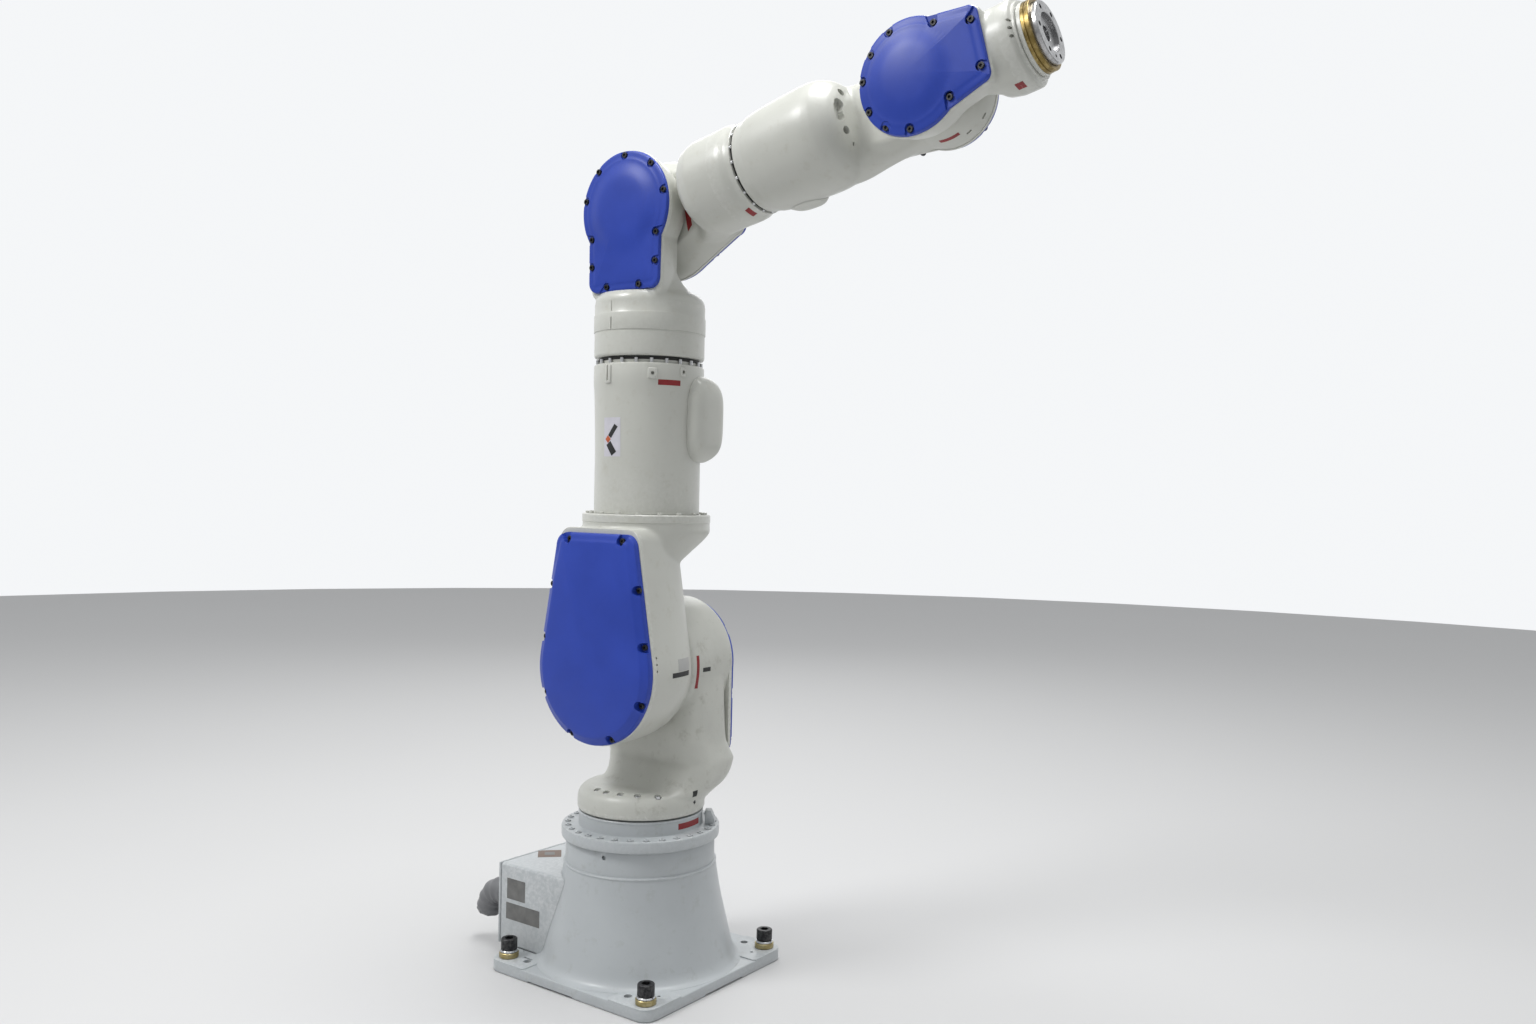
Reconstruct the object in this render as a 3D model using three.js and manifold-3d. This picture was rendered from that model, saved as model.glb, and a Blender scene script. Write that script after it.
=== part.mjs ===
// A seven-axis articulated robot arm, in millimetres, +Z up.
// The origin is the middle of the base plate's underside, on the turning axis of the base.
// +X is the way the arm reaches. The near side, -Y, carries the covers of the moving cheeks.
// Axes from the base to the tool: swivel, shoulder, upper arm roll, elbow, forearm roll, wrist bend, tool roll.
import * as THREE from "three";
import { mergeVertices } from "three/addons/utils/BufferGeometryUtils.js";
import Module from "manifold-3d";

const wasm = await Module();
wasm.setup();

// ---------------------------------------------------------------- driving dimensions
const FIT = 0.3; // clearance between two pieces that are bolted together
const SEAM = 1.5; // half the open seam at a cheek joint
const WALL = 3; // thickness of a moulded cover

// Sides of a full circle on large, medium and small round pieces, and points round a cast neck.
const LARGE = 24;
const MEDIUM = 16;
const SMALL = 10;
const NECK = 16;

const PLATE = { size: 400, thick: 20, corner: 26, pad: 2, padReach: 95 };
const BOLT = { spacing: 345, hole: 11, head: 15, headHeight: 21, shank: 9.7 };
const SPACER = { r: 18.5, height: 10 };
const SPRING_WASHER = { r: 16.5, height: 4 };
const BOX = { back: -250, half: 132, top: 178, wall: 6 };

const PEDESTAL_TOP = 252; // top of the base casting
const S_SEAM = 303; // seam of the base swivel
const L_Z = 578; // shoulder axis
const SHOULDER_TOP = 863; // top of the shoulder flange
const E_SEAM = 1149; // seam of the upper arm roll
const U_Z = 1430; // elbow axis
const R_SEAM = 262; // elbow axis to the seam of the forearm roll
const FOREARM = 615; // elbow axis to wrist bend axis
const T_SEAM = 178; // wrist bend axis to the seam of the tool roll
const TOOL_FACE = 207; // wrist bend axis to the tool flange's face
const ELBOW_BEND = THREE.MathUtils.degToRad(77.3); // forearm from straight up
const WRIST_BEND = THREE.MathUtils.degToRad(-2); // wrist from the forearm's line

// Cover outlines: a circle on the joint axis and a tail. w0 and w1 are the tail's half widths at its
// root and its end, and length is from the axis to the tail's end.
const L_NEAR = { r: 138, w0: 136, w1: 99, length: 250, corner: 26 };
const L_FAR = { r: 121, w0: 120.5, w1: 120, length: 178, corner: 24 };
const U_NEAR = { r: 105, w0: 88, w1: 87, length: 153, corner: 20 };
const U_FAR = { r: 114, w0: 104, w1: 72, length: 158, corner: 20 };
const B_NEAR = { r: 93, w0: 77, w1: 63, length: 129, corner: 15 };
const B_FAR = { r: 81, w0: 70, w1: 60, length: 118, corner: 16 };

// ---------------------------------------------------------------- materials
const PAINT = paint(0xdfe0da, 0.42, 0.0);
const BLUE = paint(0x2b3a9e, 0.4, 0.0);
const BLACK_OXIDE = paint(0x17181a, 0.45, 0.6);
const YELLOW_ZINC = paint(0xb59a45, 0.35, 0.9);
const BRIGHT_ZINC = paint(0xc4c6c8, 0.3, 0.9);
const MACHINED = paint(0xc8cacd, 0.28, 1.0);
const GOLD = paint(0xb8923a, 0.3, 1.0);
const GREY_SHELL = paint(0x6f7378, 0.5, 0.2);
const MOTOR = paint(0x26282b, 0.5, 0.3);
const REDUCER = paint(0x9a9da1, 0.35, 0.9);

function paint(color, roughness, metalness) {
  return new THREE.MeshStandardMaterial({ color, roughness, metalness });
}

// ---------------------------------------------------------------- solids
// A closed geometry as a manifold solid, turned outwards if it faces in.
function solid(geometry) {
  const bare = geometry.index ? geometry.toNonIndexed() : geometry.clone();
  bare.deleteAttribute("normal");
  bare.deleteAttribute("uv");
  const merged = mergeVertices(bare, 1e-4);
  const vertProperties = merged.attributes.position.array;
  const triVerts = new Uint32Array(merged.index.array);
  const made = new wasm.Manifold(new wasm.Mesh({ numProp: 3, vertProperties, triVerts }));
  if (made.volume() > 0) return made;
  triVerts.reverse();
  return new wasm.Manifold(new wasm.Mesh({ numProp: 3, vertProperties, triVerts }));
}

function join(first, ...others) {
  return others.reduce((all, one) => all.add(one), first);
}

function cut(first, ...others) {
  return others.reduce((all, one) => all.subtract(one), first);
}

// A named mesh from a solid.
function piece(name, shape, material) {
  const { numProp, vertProperties, triVerts } = shape.getMesh();
  const geometry = new THREE.BufferGeometry();
  geometry.setAttribute("position", new THREE.BufferAttribute(new Float32Array(vertProperties), numProp));
  geometry.setIndex(new THREE.BufferAttribute(new Uint32Array(triVerts), 1));
  geometry.computeVertexNormals();
  const mesh = new THREE.Mesh(geometry, material);
  mesh.name = name;
  return mesh;
}

// A turned body from [radius, height] pairs. Its axis is Z, or Y where asked.
function turned(profile, sides = LARGE, axis = "z") {
  const points = profile.map(([r, h]) => new THREE.Vector2(r, h));
  const geometry = new THREE.LatheGeometry(points, sides);
  if (axis === "z") geometry.rotateX(Math.PI / 2);
  return solid(geometry);
}

// A plain round bar from a to b along an axis.
function bar(r, a, b, sides = MEDIUM, axis = "z") {
  return turned([[0, a], [r, a], [r, b], [0, b]], sides, axis);
}

// A round ring with a bore, as a closed profile.
function ring(outer, bore, a, b, sides = MEDIUM, axis = "z") {
  return turned([[bore, a], [outer, a], [outer, b], [bore, b], [bore, a]], sides, axis);
}

function block(xMin, xMax, yMin, yMax, zMin, zMax) {
  const geometry = new THREE.BoxGeometry(xMax - xMin, yMax - yMin, zMax - zMin);
  geometry.translate((xMin + xMax) / 2, (yMin + yMax) / 2, (zMin + zMax) / 2);
  return solid(geometry);
}

// A closed skin through rings of points that all have the same count, with a fan on each end.
function skin(rings) {
  const count = rings[0].length;
  const middle = (points) =>
    points.reduce((sum, p) => sum.add(p), new THREE.Vector3()).divideScalar(count);
  const vertices = [...rings.flat(), middle(rings[0]), middle(rings.at(-1))];
  const [firstCap, lastCap] = [vertices.length - 2, vertices.length - 1];
  const faces = [];
  const lastRing = (rings.length - 1) * count;
  for (let i = 0; i < count; i++) {
    const next = (i + 1) % count;
    for (let k = 0; k < rings.length - 1; k++) {
      const [a, b] = [k * count, (k + 1) * count];
      faces.push(a + i, a + next, b + next, a + i, b + next, b + i);
    }
    faces.push(firstCap, next, i, lastCap, lastRing + i, lastRing + next);
  }
  const geometry = new THREE.BufferGeometry().setFromPoints(vertices);
  geometry.setIndex(faces);
  return solid(geometry);
}

// One level of a cast neck: a rounded box or ellipse, squarer as power grows from 2.
function level(z, [xMin, xMax], [yMin, yMax], power, count = NECK) {
  return Array.from({ length: count }, (_, i) => {
    const angle = (i / count) * Math.PI * 2;
    const round = (v) => Math.sign(v) * Math.abs(v) ** (2 / power);
    const x = (xMin + xMax) / 2 + ((xMax - xMin) / 2) * round(Math.cos(angle));
    const y = (yMin + yMax) / 2 + ((yMax - yMin) / 2) * round(Math.sin(angle));
    return new THREE.Vector3(x, y, z);
  });
}

// The points of a cover outline, drawn inwards by inset. v runs towards the tail.
function outline({ r, w0, w1, length, corner }, inset, arcSteps = 12, cornerSteps = 2) {
  const radius = r - inset;
  const rootHalf = Math.min(w0 - inset, radius * 0.998);
  const start = Math.atan2(Math.sqrt(radius ** 2 - rootHalf ** 2), rootHalf);
  const bend = Math.max(corner - inset, 1);
  const centre = [w1 - inset - bend, length - inset - bend];
  const points = [];
  for (let i = 0; i <= arcSteps; i++) {
    const angle = start - (i / arcSteps) * (Math.PI + 2 * start);
    points.push([radius * Math.cos(angle), radius * Math.sin(angle)]);
  }
  for (const side of [-1, 1]) {
    for (let i = 0; i <= cornerSteps; i++) {
      const step = side < 0 ? i : cornerSteps - i;
      const angle = (step / cornerSteps) * (Math.PI / 2);
      const u = side * (centre[0] + bend * Math.cos(angle));
      points.push([u, centre[1] + bend * Math.sin(angle)]);
    }
  }
  return points;
}

// A body with a cover outline, through [y, inset] layers. Its tail points up or down from height z.
function cheek(shape, layers, z = 0, tail = 1) {
  return skin(
    layers.map(([y, inset]) => outline(shape, inset).map(([u, v]) => new THREE.Vector3(u, y, z + tail * v))),
  );
}

// A moulded motor cover: a crowned shell, open on the side of its casting.
// rim is the open edge's y, and depth is how far the crown stands off it; side is -1 near, 1 far.
function cover(shape, rim, depth, side, z, tail) {
  const at = (d) => rim + side * d;
  const outside = [[at(0), 0], [at(depth * 0.6), 1], [at(depth * 0.88), 5], [at(depth), 15]];
  const inside = [[at(-1), WALL], [at(depth * 0.6), WALL + 1.5], [at(depth - WALL), 14]];
  return cut(cheek(shape, outside, z, tail), cheek(shape, inside, z, tail));
}

// ---------------------------------------------------------------- drive units
// A servo motor with its encoder cap, between a (shaft end) and b (cap end).
function servoMotor(name, r, a, b, axis = "z") {
  const way = Math.sign(b - a);
  const capStart = b - way * 34;
  const profile = [
    [0, a], [r, a], [r, a + way * 12], [r - 5, a + way * 14], [r - 5, capStart],
    [r - 11, capStart + way * 2], [r - 11, b - way * 3], [r - 15, b], [0, b],
  ];
  return piece(name, turned(profile, SMALL, axis), MOTOR);
}

// A strain wave reducer's ring housing with its hub.
function reducer(name, r, a, b, axis = "z") {
  const way = Math.sign(b - a);
  const profile = [
    [12, a], [r * 0.72, a], [r * 0.72, a + way * 5], [r, a + way * 5], [r, b], [12, b], [12, a],
  ];
  return piece(name, turned(profile, MEDIUM, axis), REDUCER);
}

// The bearing-borne flange that a reducer turns.
function outputFlange(name, r, a, b, axis = "z") {
  return piece(name, ring(r, 16, a, b, MEDIUM, axis), MACHINED);
}

// ---------------------------------------------------------------- base
function plateShape(half, corner) {
  const shape = new THREE.Shape();
  const turn = half - corner;
  shape.absarc(turn, turn, corner, 0, Math.PI / 2);
  shape.absarc(-turn, turn, corner, Math.PI / 2, Math.PI);
  shape.absarc(-turn, -turn, corner, Math.PI, Math.PI * 1.5);
  shape.absarc(turn, -turn, corner, Math.PI * 1.5, Math.PI * 2);
  return shape;
}

function boltPlaces() {
  const half = BOLT.spacing / 2;
  return [[-half, -half], [half, -half], [half, half], [-half, half]];
}

function baseCasting() {
  const plateGeometry = new THREE.ExtrudeGeometry(plateShape(PLATE.size / 2, PLATE.corner), {
    depth: PLATE.thick, bevelEnabled: false, curveSegments: 4,
  });
  const padTop = PLATE.thick + PLATE.pad;
  const padGeometry = new THREE.ExtrudeGeometry(plateShape(PLATE.size / 2, PLATE.corner), {
    depth: padTop, bevelEnabled: false, curveSegments: 4,
  });
  const inner = PLATE.size / 2 - PLATE.padReach;
  const pads = cut(
    solid(padGeometry),
    block(-inner, inner, -300, 300, -1, 60),
    block(-300, 300, -inner, inner, -1, 60),
  );
  const cone = turned([
    [0, 10], [194, 10], [192, 21], [186, 27], [180, 38], [169, 82], [155.5, 138], [144.6, 196],
    [143.4, 204], [141.6, 206], [141.6, PEDESTAL_TOP], [0, PEDESTAL_TOP],
  ], LARGE);
  const cavity = turned([
    [0, 14], [164, 14], [160, 40], [137, 130], [126, 200], [126, PEDESTAL_TOP + 1], [0, PEDESTAL_TOP + 1],
  ], MEDIUM);
  const holes = boltPlaces().map(([x, y]) => bar(BOLT.hole, -1, 60, 12).translate([x, y, 0]));
  const cableWay = block(-220, -100, -50, 50, 50, 140);
  const boxSeat = block(-260, -120, -BOX.half - FIT, BOX.half + FIT, PLATE.thick, 60);
  return cut(join(solid(plateGeometry), cut(pads, boxSeat), cone), cavity, cableWay, ...holes);
}

function connectorBox() {
  const z0 = PLATE.thick + FIT;
  const outside = block(BOX.back + 6, -60, -BOX.half, BOX.half, z0, BOX.top);
  const inside = block(
    BOX.back, -50, -BOX.half + BOX.wall, BOX.half - BOX.wall, z0 + BOX.wall, BOX.top - BOX.wall,
  );
  const pedestal = turned([
    [0, 0], [196, 0], [194.3, 21], [188.3, 28], [181.5, 38], [170, 82], [156.5, 138], [145.6, 196], [0, 198],
  ], LARGE);
  return cut(outside, inside, pedestal);
}

function connectorHood() {
  const route = new THREE.CatmullRomCurve3([
    new THREE.Vector3(BOX.back - 9, -88, 104),
    new THREE.Vector3(BOX.back - 38, -88, 103),
    new THREE.Vector3(BOX.back - 62, -88, 88),
    new THREE.Vector3(BOX.back - 76, -88, 60),
  ]);
  const round = new THREE.Shape().absarc(0, 0, 27, 0, Math.PI * 2);
  const elbow = new THREE.ExtrudeGeometry(round, { steps: 7, curveSegments: 7, extrudePath: route });
  const collar = bar(33, 0, 8, 16, "y").rotate([0, 0, 90]).translate([BOX.back - FIT, -88, 104]);
  return join(solid(elbow), collar);
}

function addBase(root) {
  root.add(piece("base_casting", baseCasting(), PAINT));
  root.add(piece("connector_box", connectorBox(), PAINT));
  const panel = block(
    BOX.back, BOX.back + 5.7, -BOX.half, BOX.half, PLATE.thick + FIT, BOX.top,
  );
  root.add(piece("connector_panel", panel, PAINT));
  root.add(piece("power_connector_hood", connectorHood(), GREY_SHELL));
  const signal = join(
    bar(19, 0, 26, 12, "y").rotate([0, 0, 90]),
    bar(24, 0, 6, 12, "y").rotate([0, 0, 90]),
  ).translate([BOX.back - FIT, -12, 104]);
  root.add(piece("signal_connector", signal, GREY_SHELL));
  for (const [name, y] of [["air_port_1", 52], ["air_port_2", 92]]) {
    const port = join(
      bar(8, 0, 20, 10, "y").rotate([0, 0, 90]),
      bar(13, 0, 9, 6, "y").rotate([0, 0, 90]),
    ).translate([BOX.back - FIT, y, 104]);
    root.add(piece(name, port, YELLOW_ZINC));
  }
  const padTop = PLATE.thick + PLATE.pad + FIT;
  const springTop = padTop + SPACER.height + SPRING_WASHER.height + 2 * FIT;
  boltPlaces().forEach(([x, y], i) => {
    const spacer = ring(SPACER.r, BOLT.hole, padTop, padTop + SPACER.height, SMALL);
    const washer = ring(
      SPRING_WASHER.r, BOLT.hole, padTop + SPACER.height + FIT, springTop - FIT, SMALL,
    );
    const socket = bar(7.5, springTop + BOLT.headHeight - 10, springTop + 40, 6);
    const head = turned([
      [0, 1], [BOLT.shank, 1], [BOLT.shank, springTop], [BOLT.head, springTop],
      [BOLT.head, springTop + BOLT.headHeight - 2], [BOLT.head - 2, springTop + BOLT.headHeight],
      [0, springTop + BOLT.headHeight],
    ], SMALL);
    const bolt = cut(head, socket);
    root.add(piece(`anchor_spacer_${i + 1}`, spacer.translate([x, y, 0]), YELLOW_ZINC));
    root.add(piece(`spring_washer_${i + 1}`, washer.translate([x, y, 0]), BRIGHT_ZINC));
    root.add(piece(`anchor_bolt_${i + 1}`, bolt.translate([x, y, 0]), BLACK_OXIDE));
  });
  const clamp = turned([
    [96, PEDESTAL_TOP + FIT], [148, PEDESTAL_TOP + FIT], [150, PEDESTAL_TOP + 3], [150, 272],
    [148, 274], [118.5, 274], [117.5, 277], [117.5, S_SEAM - SEAM], [96, S_SEAM - SEAM],
    [96, PEDESTAL_TOP + FIT],
  ], LARGE);
  root.add(piece("swivel_bearing_ring", clamp, PAINT));
  root.add(servoMotor("swivel_servo_motor", 66, 258, 70));
  root.add(reducer("swivel_reducer", 95, 260, 300));
}

// ---------------------------------------------------------------- swivel, turns about Z on the base
function addSwivel(root) {
  root.add(outputFlange("swivel_output_flange", 88, 302.5, 330));
  const collar = turned([
    [0, S_SEAM + SEAM], [116.5, S_SEAM + SEAM], [120, 310], [121, 322], [119.5, 335], [114, 345],
    [0, 350],
  ], LARGE);
  const farY = 118;
  const near = SEAM + 2;
  const neck = skin([
    level(322, [-110, 114], [-100, 122], 2.1),
    level(340, [-108, 126], [-84, 136], 2.2),
    level(352, [-106, 132], [-48, 143], 2.4),
    level(368, [-108, 136], [-22, 145], 2.8),
    level(388, [-113, 137], [-4, 145], 3.4),
    level(398, [-117, 136], [near, 143], 3.8),
    level(420, [-122, 130], [near, 128], 4.4),
    level(450, [-124, 126], [near, farY], 5),
    level(L_Z, [-119, 119], [near, farY], 5),
  ]);
  const boss = turned([
    [0, SEAM], [115, SEAM], [120, 8], [122, 30], [122, farY - 6], [120, farY], [0, farY],
  ], LARGE, "y").translate([0, 0, L_Z]);
  const bore = bar(92, 0, farY + 1, MEDIUM, "y").translate([0, 0, L_Z]);
  const lowerBore = bar(88 + FIT, S_SEAM - 5, 330 + FIT);
  const cableShaft = block(-40, 40, 30, 90, 325, L_Z);
  const coverLedge = block(-140, 140, farY, 150, L_Z - L_FAR.length - 2, L_Z);
  const cuts = [bore, lowerBore, cableShaft, coverLedge];
  root.add(piece("swivel_casting", cut(join(collar, neck, boss), ...cuts), PAINT));
  root.add(reducer("shoulder_reducer", 91.5, 6, 46, "y").translateZ(L_Z));
  root.add(servoMotor("shoulder_servo_motor", 64, 47, farY - 2, "y").translateZ(L_Z));
  root.add(piece("swivel_side_cover", cover(L_FAR, farY + FIT, 18, 1, L_Z, -1), BLUE));
}

// ---------------------------------------------------------------- shoulder link, hinged about Y on the swivel
function addShoulder(root) {
  root.add(outputFlange("shoulder_output_flange", 84, -24, 5, "y").translateZ(L_Z));
  const nearY = -130;
  const side = cheek(
    { ...L_NEAR, length: 258 },
    [[-SEAM, 18], [-9, 14], [-28, 6], [-60, 0], [nearY + 3, -1.5], [nearY, 0.5]],
    L_Z,
  );
  const throat = skin([
    level(L_Z + 120, [-92, 92], [-100, -14], 4),
    level(L_Z + 168, [-90, 92], [-108, -6], 3.6),
    level(L_Z + 190, [-92, 94], [-112, 12], 3.2),
    level(L_Z + 214, [-98, 102], [-114, 54], 2.7),
    level(L_Z + 236, [-108, 112], [-116, 96], 2.3),
    level(L_Z + 251, [-118, 120], [-116, 116], 2.1),
    level(L_Z + 260, [-121.5, 121.5], [-121.5, 121.5], 2),
  ]);
  const flange = turned([
    [0, 832], [121.6, 832], [121.6, SHOULDER_TOP - 2], [119.6, SHOULDER_TOP], [0, SHOULDER_TOP],
  ], LARGE);
  const pocket = cheek(
    { ...L_NEAR, length: 236 },
    [[nearY - 1, 13], [-60, 17], [-40, 22]],
    L_Z,
  );
  const output = bar(84 + FIT, -24 - FIT, 0, MEDIUM, "y").translate([0, 0, L_Z]);
  const topBore = bar(80, 780, SHOULDER_TOP + 1);
  root.add(piece("shoulder_casting", cut(join(side, throat, flange), pocket, output, topBore), PAINT));
  root.add(piece("shoulder_side_cover", cover(L_NEAR, nearY - FIT, 24, -1, L_Z, 1), BLUE));
  const tube = turned([
    [86, SHOULDER_TOP + FIT], [100, SHOULDER_TOP + FIT], [100, 985], [102.5, 1080], [104.5, 1108],
    [104.5, 1138], [102, 1142], [95, 1142], [95, E_SEAM - 1], [86, E_SEAM - 1], [86, SHOULDER_TOP + FIT],
  ], LARGE);
  root.add(piece("upper_arm_tube", tube, PAINT));
  const blister = skin([
    level(962, [60, 100], [-10, 60], 2.4, 12),
    level(982, [52, 122], [-28, 78], 2.8, 12),
    level(1010, [50, 130], [-34, 84], 3, 12),
    level(1078, [50, 131], [-34, 84], 3, 12),
    level(1104, [52, 122], [-26, 76], 2.8, 12),
    level(1124, [60, 101], [-8, 58], 2.4, 12),
  ]);
  const clearTube = bar(105, 950, 1136, LARGE);
  root.add(piece("upper_arm_cable_cover", cut(blister, clearTube), PAINT));
  root.add(servoMotor("upper_arm_servo_motor", 62, 1090, 900));
  root.add(reducer("upper_arm_reducer", 84, 1092, 1138));
}

// ---------------------------------------------------------------- elbow link, turns about the upper arm
function addElbow(root) {
  root.add(outputFlange("upper_arm_output_flange", 82, 1140.5, 1176));
  const bottom = E_SEAM + 6;
  const drum = turned([
    [0, bottom], [102, bottom], [104.5, bottom + 3], [104.5, 1200], [103.5, 1201], [105.8, 1203],
    [105.8, 1234], [104.8, 1236], [104.8, 1258], [101, 1270], [92, 1279], [78, 1283], [0, 1283],
  ], LARGE);
  const nearY = -72;
  const side = cheek(
    { ...U_NEAR, length: 165 },
    [[-SEAM, 21], [-8, 18], [-30, 8], [-52, 2], [nearY + 3, -2], [nearY, 0.5]],
    U_Z,
    -1,
  );
  const throat = skin([
    level(1262, [-95, 95], [-95, 95], 2),
    level(1280, [-88, 88], [-86, 62], 2.3),
    level(1298, [-80, 80], [-74, 26], 2.7),
    level(1318, [-76, 76], [-71, 6], 3.2),
    level(1340, [-75, 75], [-70, -6], 3.6),
    level(1384, [-75, 75], [-66, -10], 4),
  ]);
  const pocket = cheek({ ...U_NEAR, length: 144 }, [[nearY - 1, 13], [-50, 17], [-36, 24]], U_Z, -1);
  const output = bar(62 + FIT, -22 - FIT, 0, MEDIUM, "y").translate([0, 0, U_Z]);
  const lowerBore = bar(82 + FIT, 1150, 1176 + FIT);
  const cableShaft = bar(40, 1170, 1300, SMALL);
  const coverLedge = block(-110, 110, -140, nearY, U_Z - U_NEAR.length - 2, 1320);
  const cuts = [pocket, output, lowerBore, cableShaft, coverLedge];
  root.add(outputFlange("elbow_output_flange", 62, -22, 4, "y").translateZ(U_Z));
  root.add(piece("elbow_casting", cut(join(drum, throat, side), ...cuts), PAINT));
  root.add(piece("elbow_side_cover", cover(U_NEAR, nearY - FIT, 15, -1, U_Z, -1), BLUE));
}

// ---------------------------------------------------------------- forearm base, hinged about Y on the elbow
// Drawn with the elbow axis at the origin and the forearm pointing up.
function addForearmBase(group) {
  const farY = 74;
  const side = cheek(
    { ...U_FAR, length: 160 },
    [[SEAM, 29], [8, 24], [26, 10], [44, 3], [farY - 3, -1], [farY, 1]],
  );
  const tube = turned([
    [0, 112], [44, 113], [67, 120], [82, 134], [88, 154], [88, 226], [86.5, 238], [83.5, 244],
    [83.5, R_SEAM - 5], [0, R_SEAM - 5],
  ], LARGE);
  const throat = skin([
    level(60, [-76, 76], [8, 68], 4),
    level(96, [-80, 80], [4, 72], 3.6),
    level(116, [-82, 82], [-20, 76], 3),
    level(136, [-84, 84], [-58, 82], 2.4),
    level(160, [-86.5, 86.5], [-84, 86.5], 2.1),
    level(190, [-86.5, 86.5], [-86.5, 86.5], 2),
  ]);
  const bore = bar(70, 0, farY + 1, MEDIUM, "y");
  const rollBore = bar(76, 128, R_SEAM + 1);
  const coverLedge = block(-100, 100, farY, 140, 60, U_FAR.length + 2);
  const cuts = [bore, rollBore, coverLedge];
  group.add(piece("forearm_base_casting", cut(join(side, throat, tube), ...cuts), PAINT));
  group.add(reducer("elbow_reducer", 69.5, 6, 34, "y"));
  group.add(servoMotor("elbow_servo_motor", 50, 35, farY + 6, "y"));
  group.add(piece("forearm_base_cover", cover(U_FAR, farY + FIT, 17, 1, 0, 1), BLUE));
  group.add(servoMotor("forearm_servo_motor", 52, 214, 132));
  group.add(reducer("forearm_reducer", 75.5, 216, 252));
}

// ---------------------------------------------------------------- forearm tube, turns about the forearm
function addForearmTube(group) {
  group.add(outputFlange("forearm_output_flange", 72, 254, 284));
  const start = R_SEAM - 1.5;
  const tube = turned([
    [0, start], [82, start], [83.5, start + 2], [83.5, 272], [88, 283], [91, 310], [93, 350],
    [94.5, 400], [92, 424], [82, 445], [64, 462], [40, 470], [0, 471],
  ], LARGE);
  const farY = 70;
  const lobe = cheek(
    { ...B_FAR, length: 150 },
    [[SEAM, 14], [7, 10], [24, 3], [44, 0], [farY - 3, -1], [farY, 1]],
    FOREARM,
    -1,
  );
  const throat = skin([
    level(330, [-88, 85], [-40, 87], 2),
    level(400, [-89, 83], [-30, 88], 2.1),
    level(440, [-82, 82], [-16, 84], 2.4),
    level(480, [-76, 76], [-2, 74], 3),
    level(510, [-72, 72], [5, farY], 3.4),
    level(560, [-68, 68], [6, farY - 2], 4),
  ]);
  const bore = bar(56, 0, farY + 1, MEDIUM, "y").translate([0, 0, FOREARM]);
  const rollBore = bar(72 + FIT, R_SEAM - 3, 284 + FIT);
  const cableShaft = bar(34, 280, 440, SMALL);
  const sideDuct = block(-25, 25, 10, 55, 400, FOREARM - 20);
  const coverLedge = block(-100, 100, farY, 140, FOREARM - B_FAR.length - 2, FOREARM);
  const cuts = [bore, rollBore, cableShaft, sideDuct, coverLedge];
  group.add(piece("forearm_tube", cut(join(tube, throat, lobe), ...cuts), PAINT));
  const blister = skin([
    level(296, [60, 87], [6, 44], 2.4, 12),
    level(308, [52, 92], [-4, 52], 2.8, 12),
    level(322, [50, 94], [-8, 55], 3, 12),
    level(346, [50, 95], [-8, 55], 3, 12),
    level(358, [52, 93], [-4, 51], 2.8, 12),
    level(368, [60, 87], [8, 44], 2.4, 12),
  ]);
  const clearForearm = turned([[0, 290], [89.2, 290], [91.4, 310], [93.4, 350], [94.2, 372], [0, 372]]);
  group.add(piece("forearm_cable_cover", cut(blister, clearForearm), PAINT));
  group.add(reducer("wrist_bend_reducer", 55.5, 5, 30, "y").translateZ(FOREARM));
  group.add(servoMotor("wrist_bend_servo_motor", 44, 31, farY + 5, "y").translateZ(FOREARM));
  group.add(piece("forearm_end_cover", cover(B_FAR, farY + FIT, 15, 1, FOREARM, -1), BLUE));
}

// ---------------------------------------------------------------- wrist, hinged about Y on the forearm tube
// Drawn with the wrist bend axis at the origin and the wrist pointing up.
function addWrist(group) {
  group.add(outputFlange("wrist_bend_output_flange", 50, -20, 3.5, "y"));
  const nearY = -70;
  const side = cheek(
    { ...B_NEAR, length: 132 },
    [[-SEAM, 19], [-8, 15], [-26, 7], [-46, 2.5], [nearY + 3, -1.5], [nearY, 0.5]],
  );
  const tube = turned([
    [0, 96], [30, 97], [54, 104], [66, 118], [71, 138], [71, 166], [68, 171], [63, 173], [63, T_SEAM - 1],
    [0, T_SEAM - 1],
  ], LARGE);
  const throat = skin([
    level(60, [-58, 58], [-64, -6], 4),
    level(92, [-60, 60], [-68, -3], 3.6),
    level(108, [-62, 62], [-69, 20], 3),
    level(124, [-66, 66], [-69.8, 52], 2.4),
    level(142, [-70, 70], [-70, 68], 2.1),
  ]);
  const pocket = cheek({ ...B_NEAR, length: 122 }, [[nearY - 1, 13], [-46, 18], [-32, 24]]);
  const output = bar(50 + FIT, -20 - FIT, 0, MEDIUM, "y");
  const rollBore = bar(46, 110, T_SEAM + 1);
  group.add(piece("wrist_casting", cut(join(side, throat, tube), pocket, output, rollBore), PAINT));
  group.add(piece("wrist_side_cover", cover(B_NEAR, nearY - FIT, 17, -1, 0, 1), BLUE));
  group.add(servoMotor("tool_servo_motor", 34, 138, 112));
  group.add(reducer("tool_reducer", 45.5, 140, 168));
  group.add(piece("tool_seal_ring", ring(57, 47, T_SEAM - 1 + FIT, T_SEAM + 11, LARGE), GOLD));
}

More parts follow.
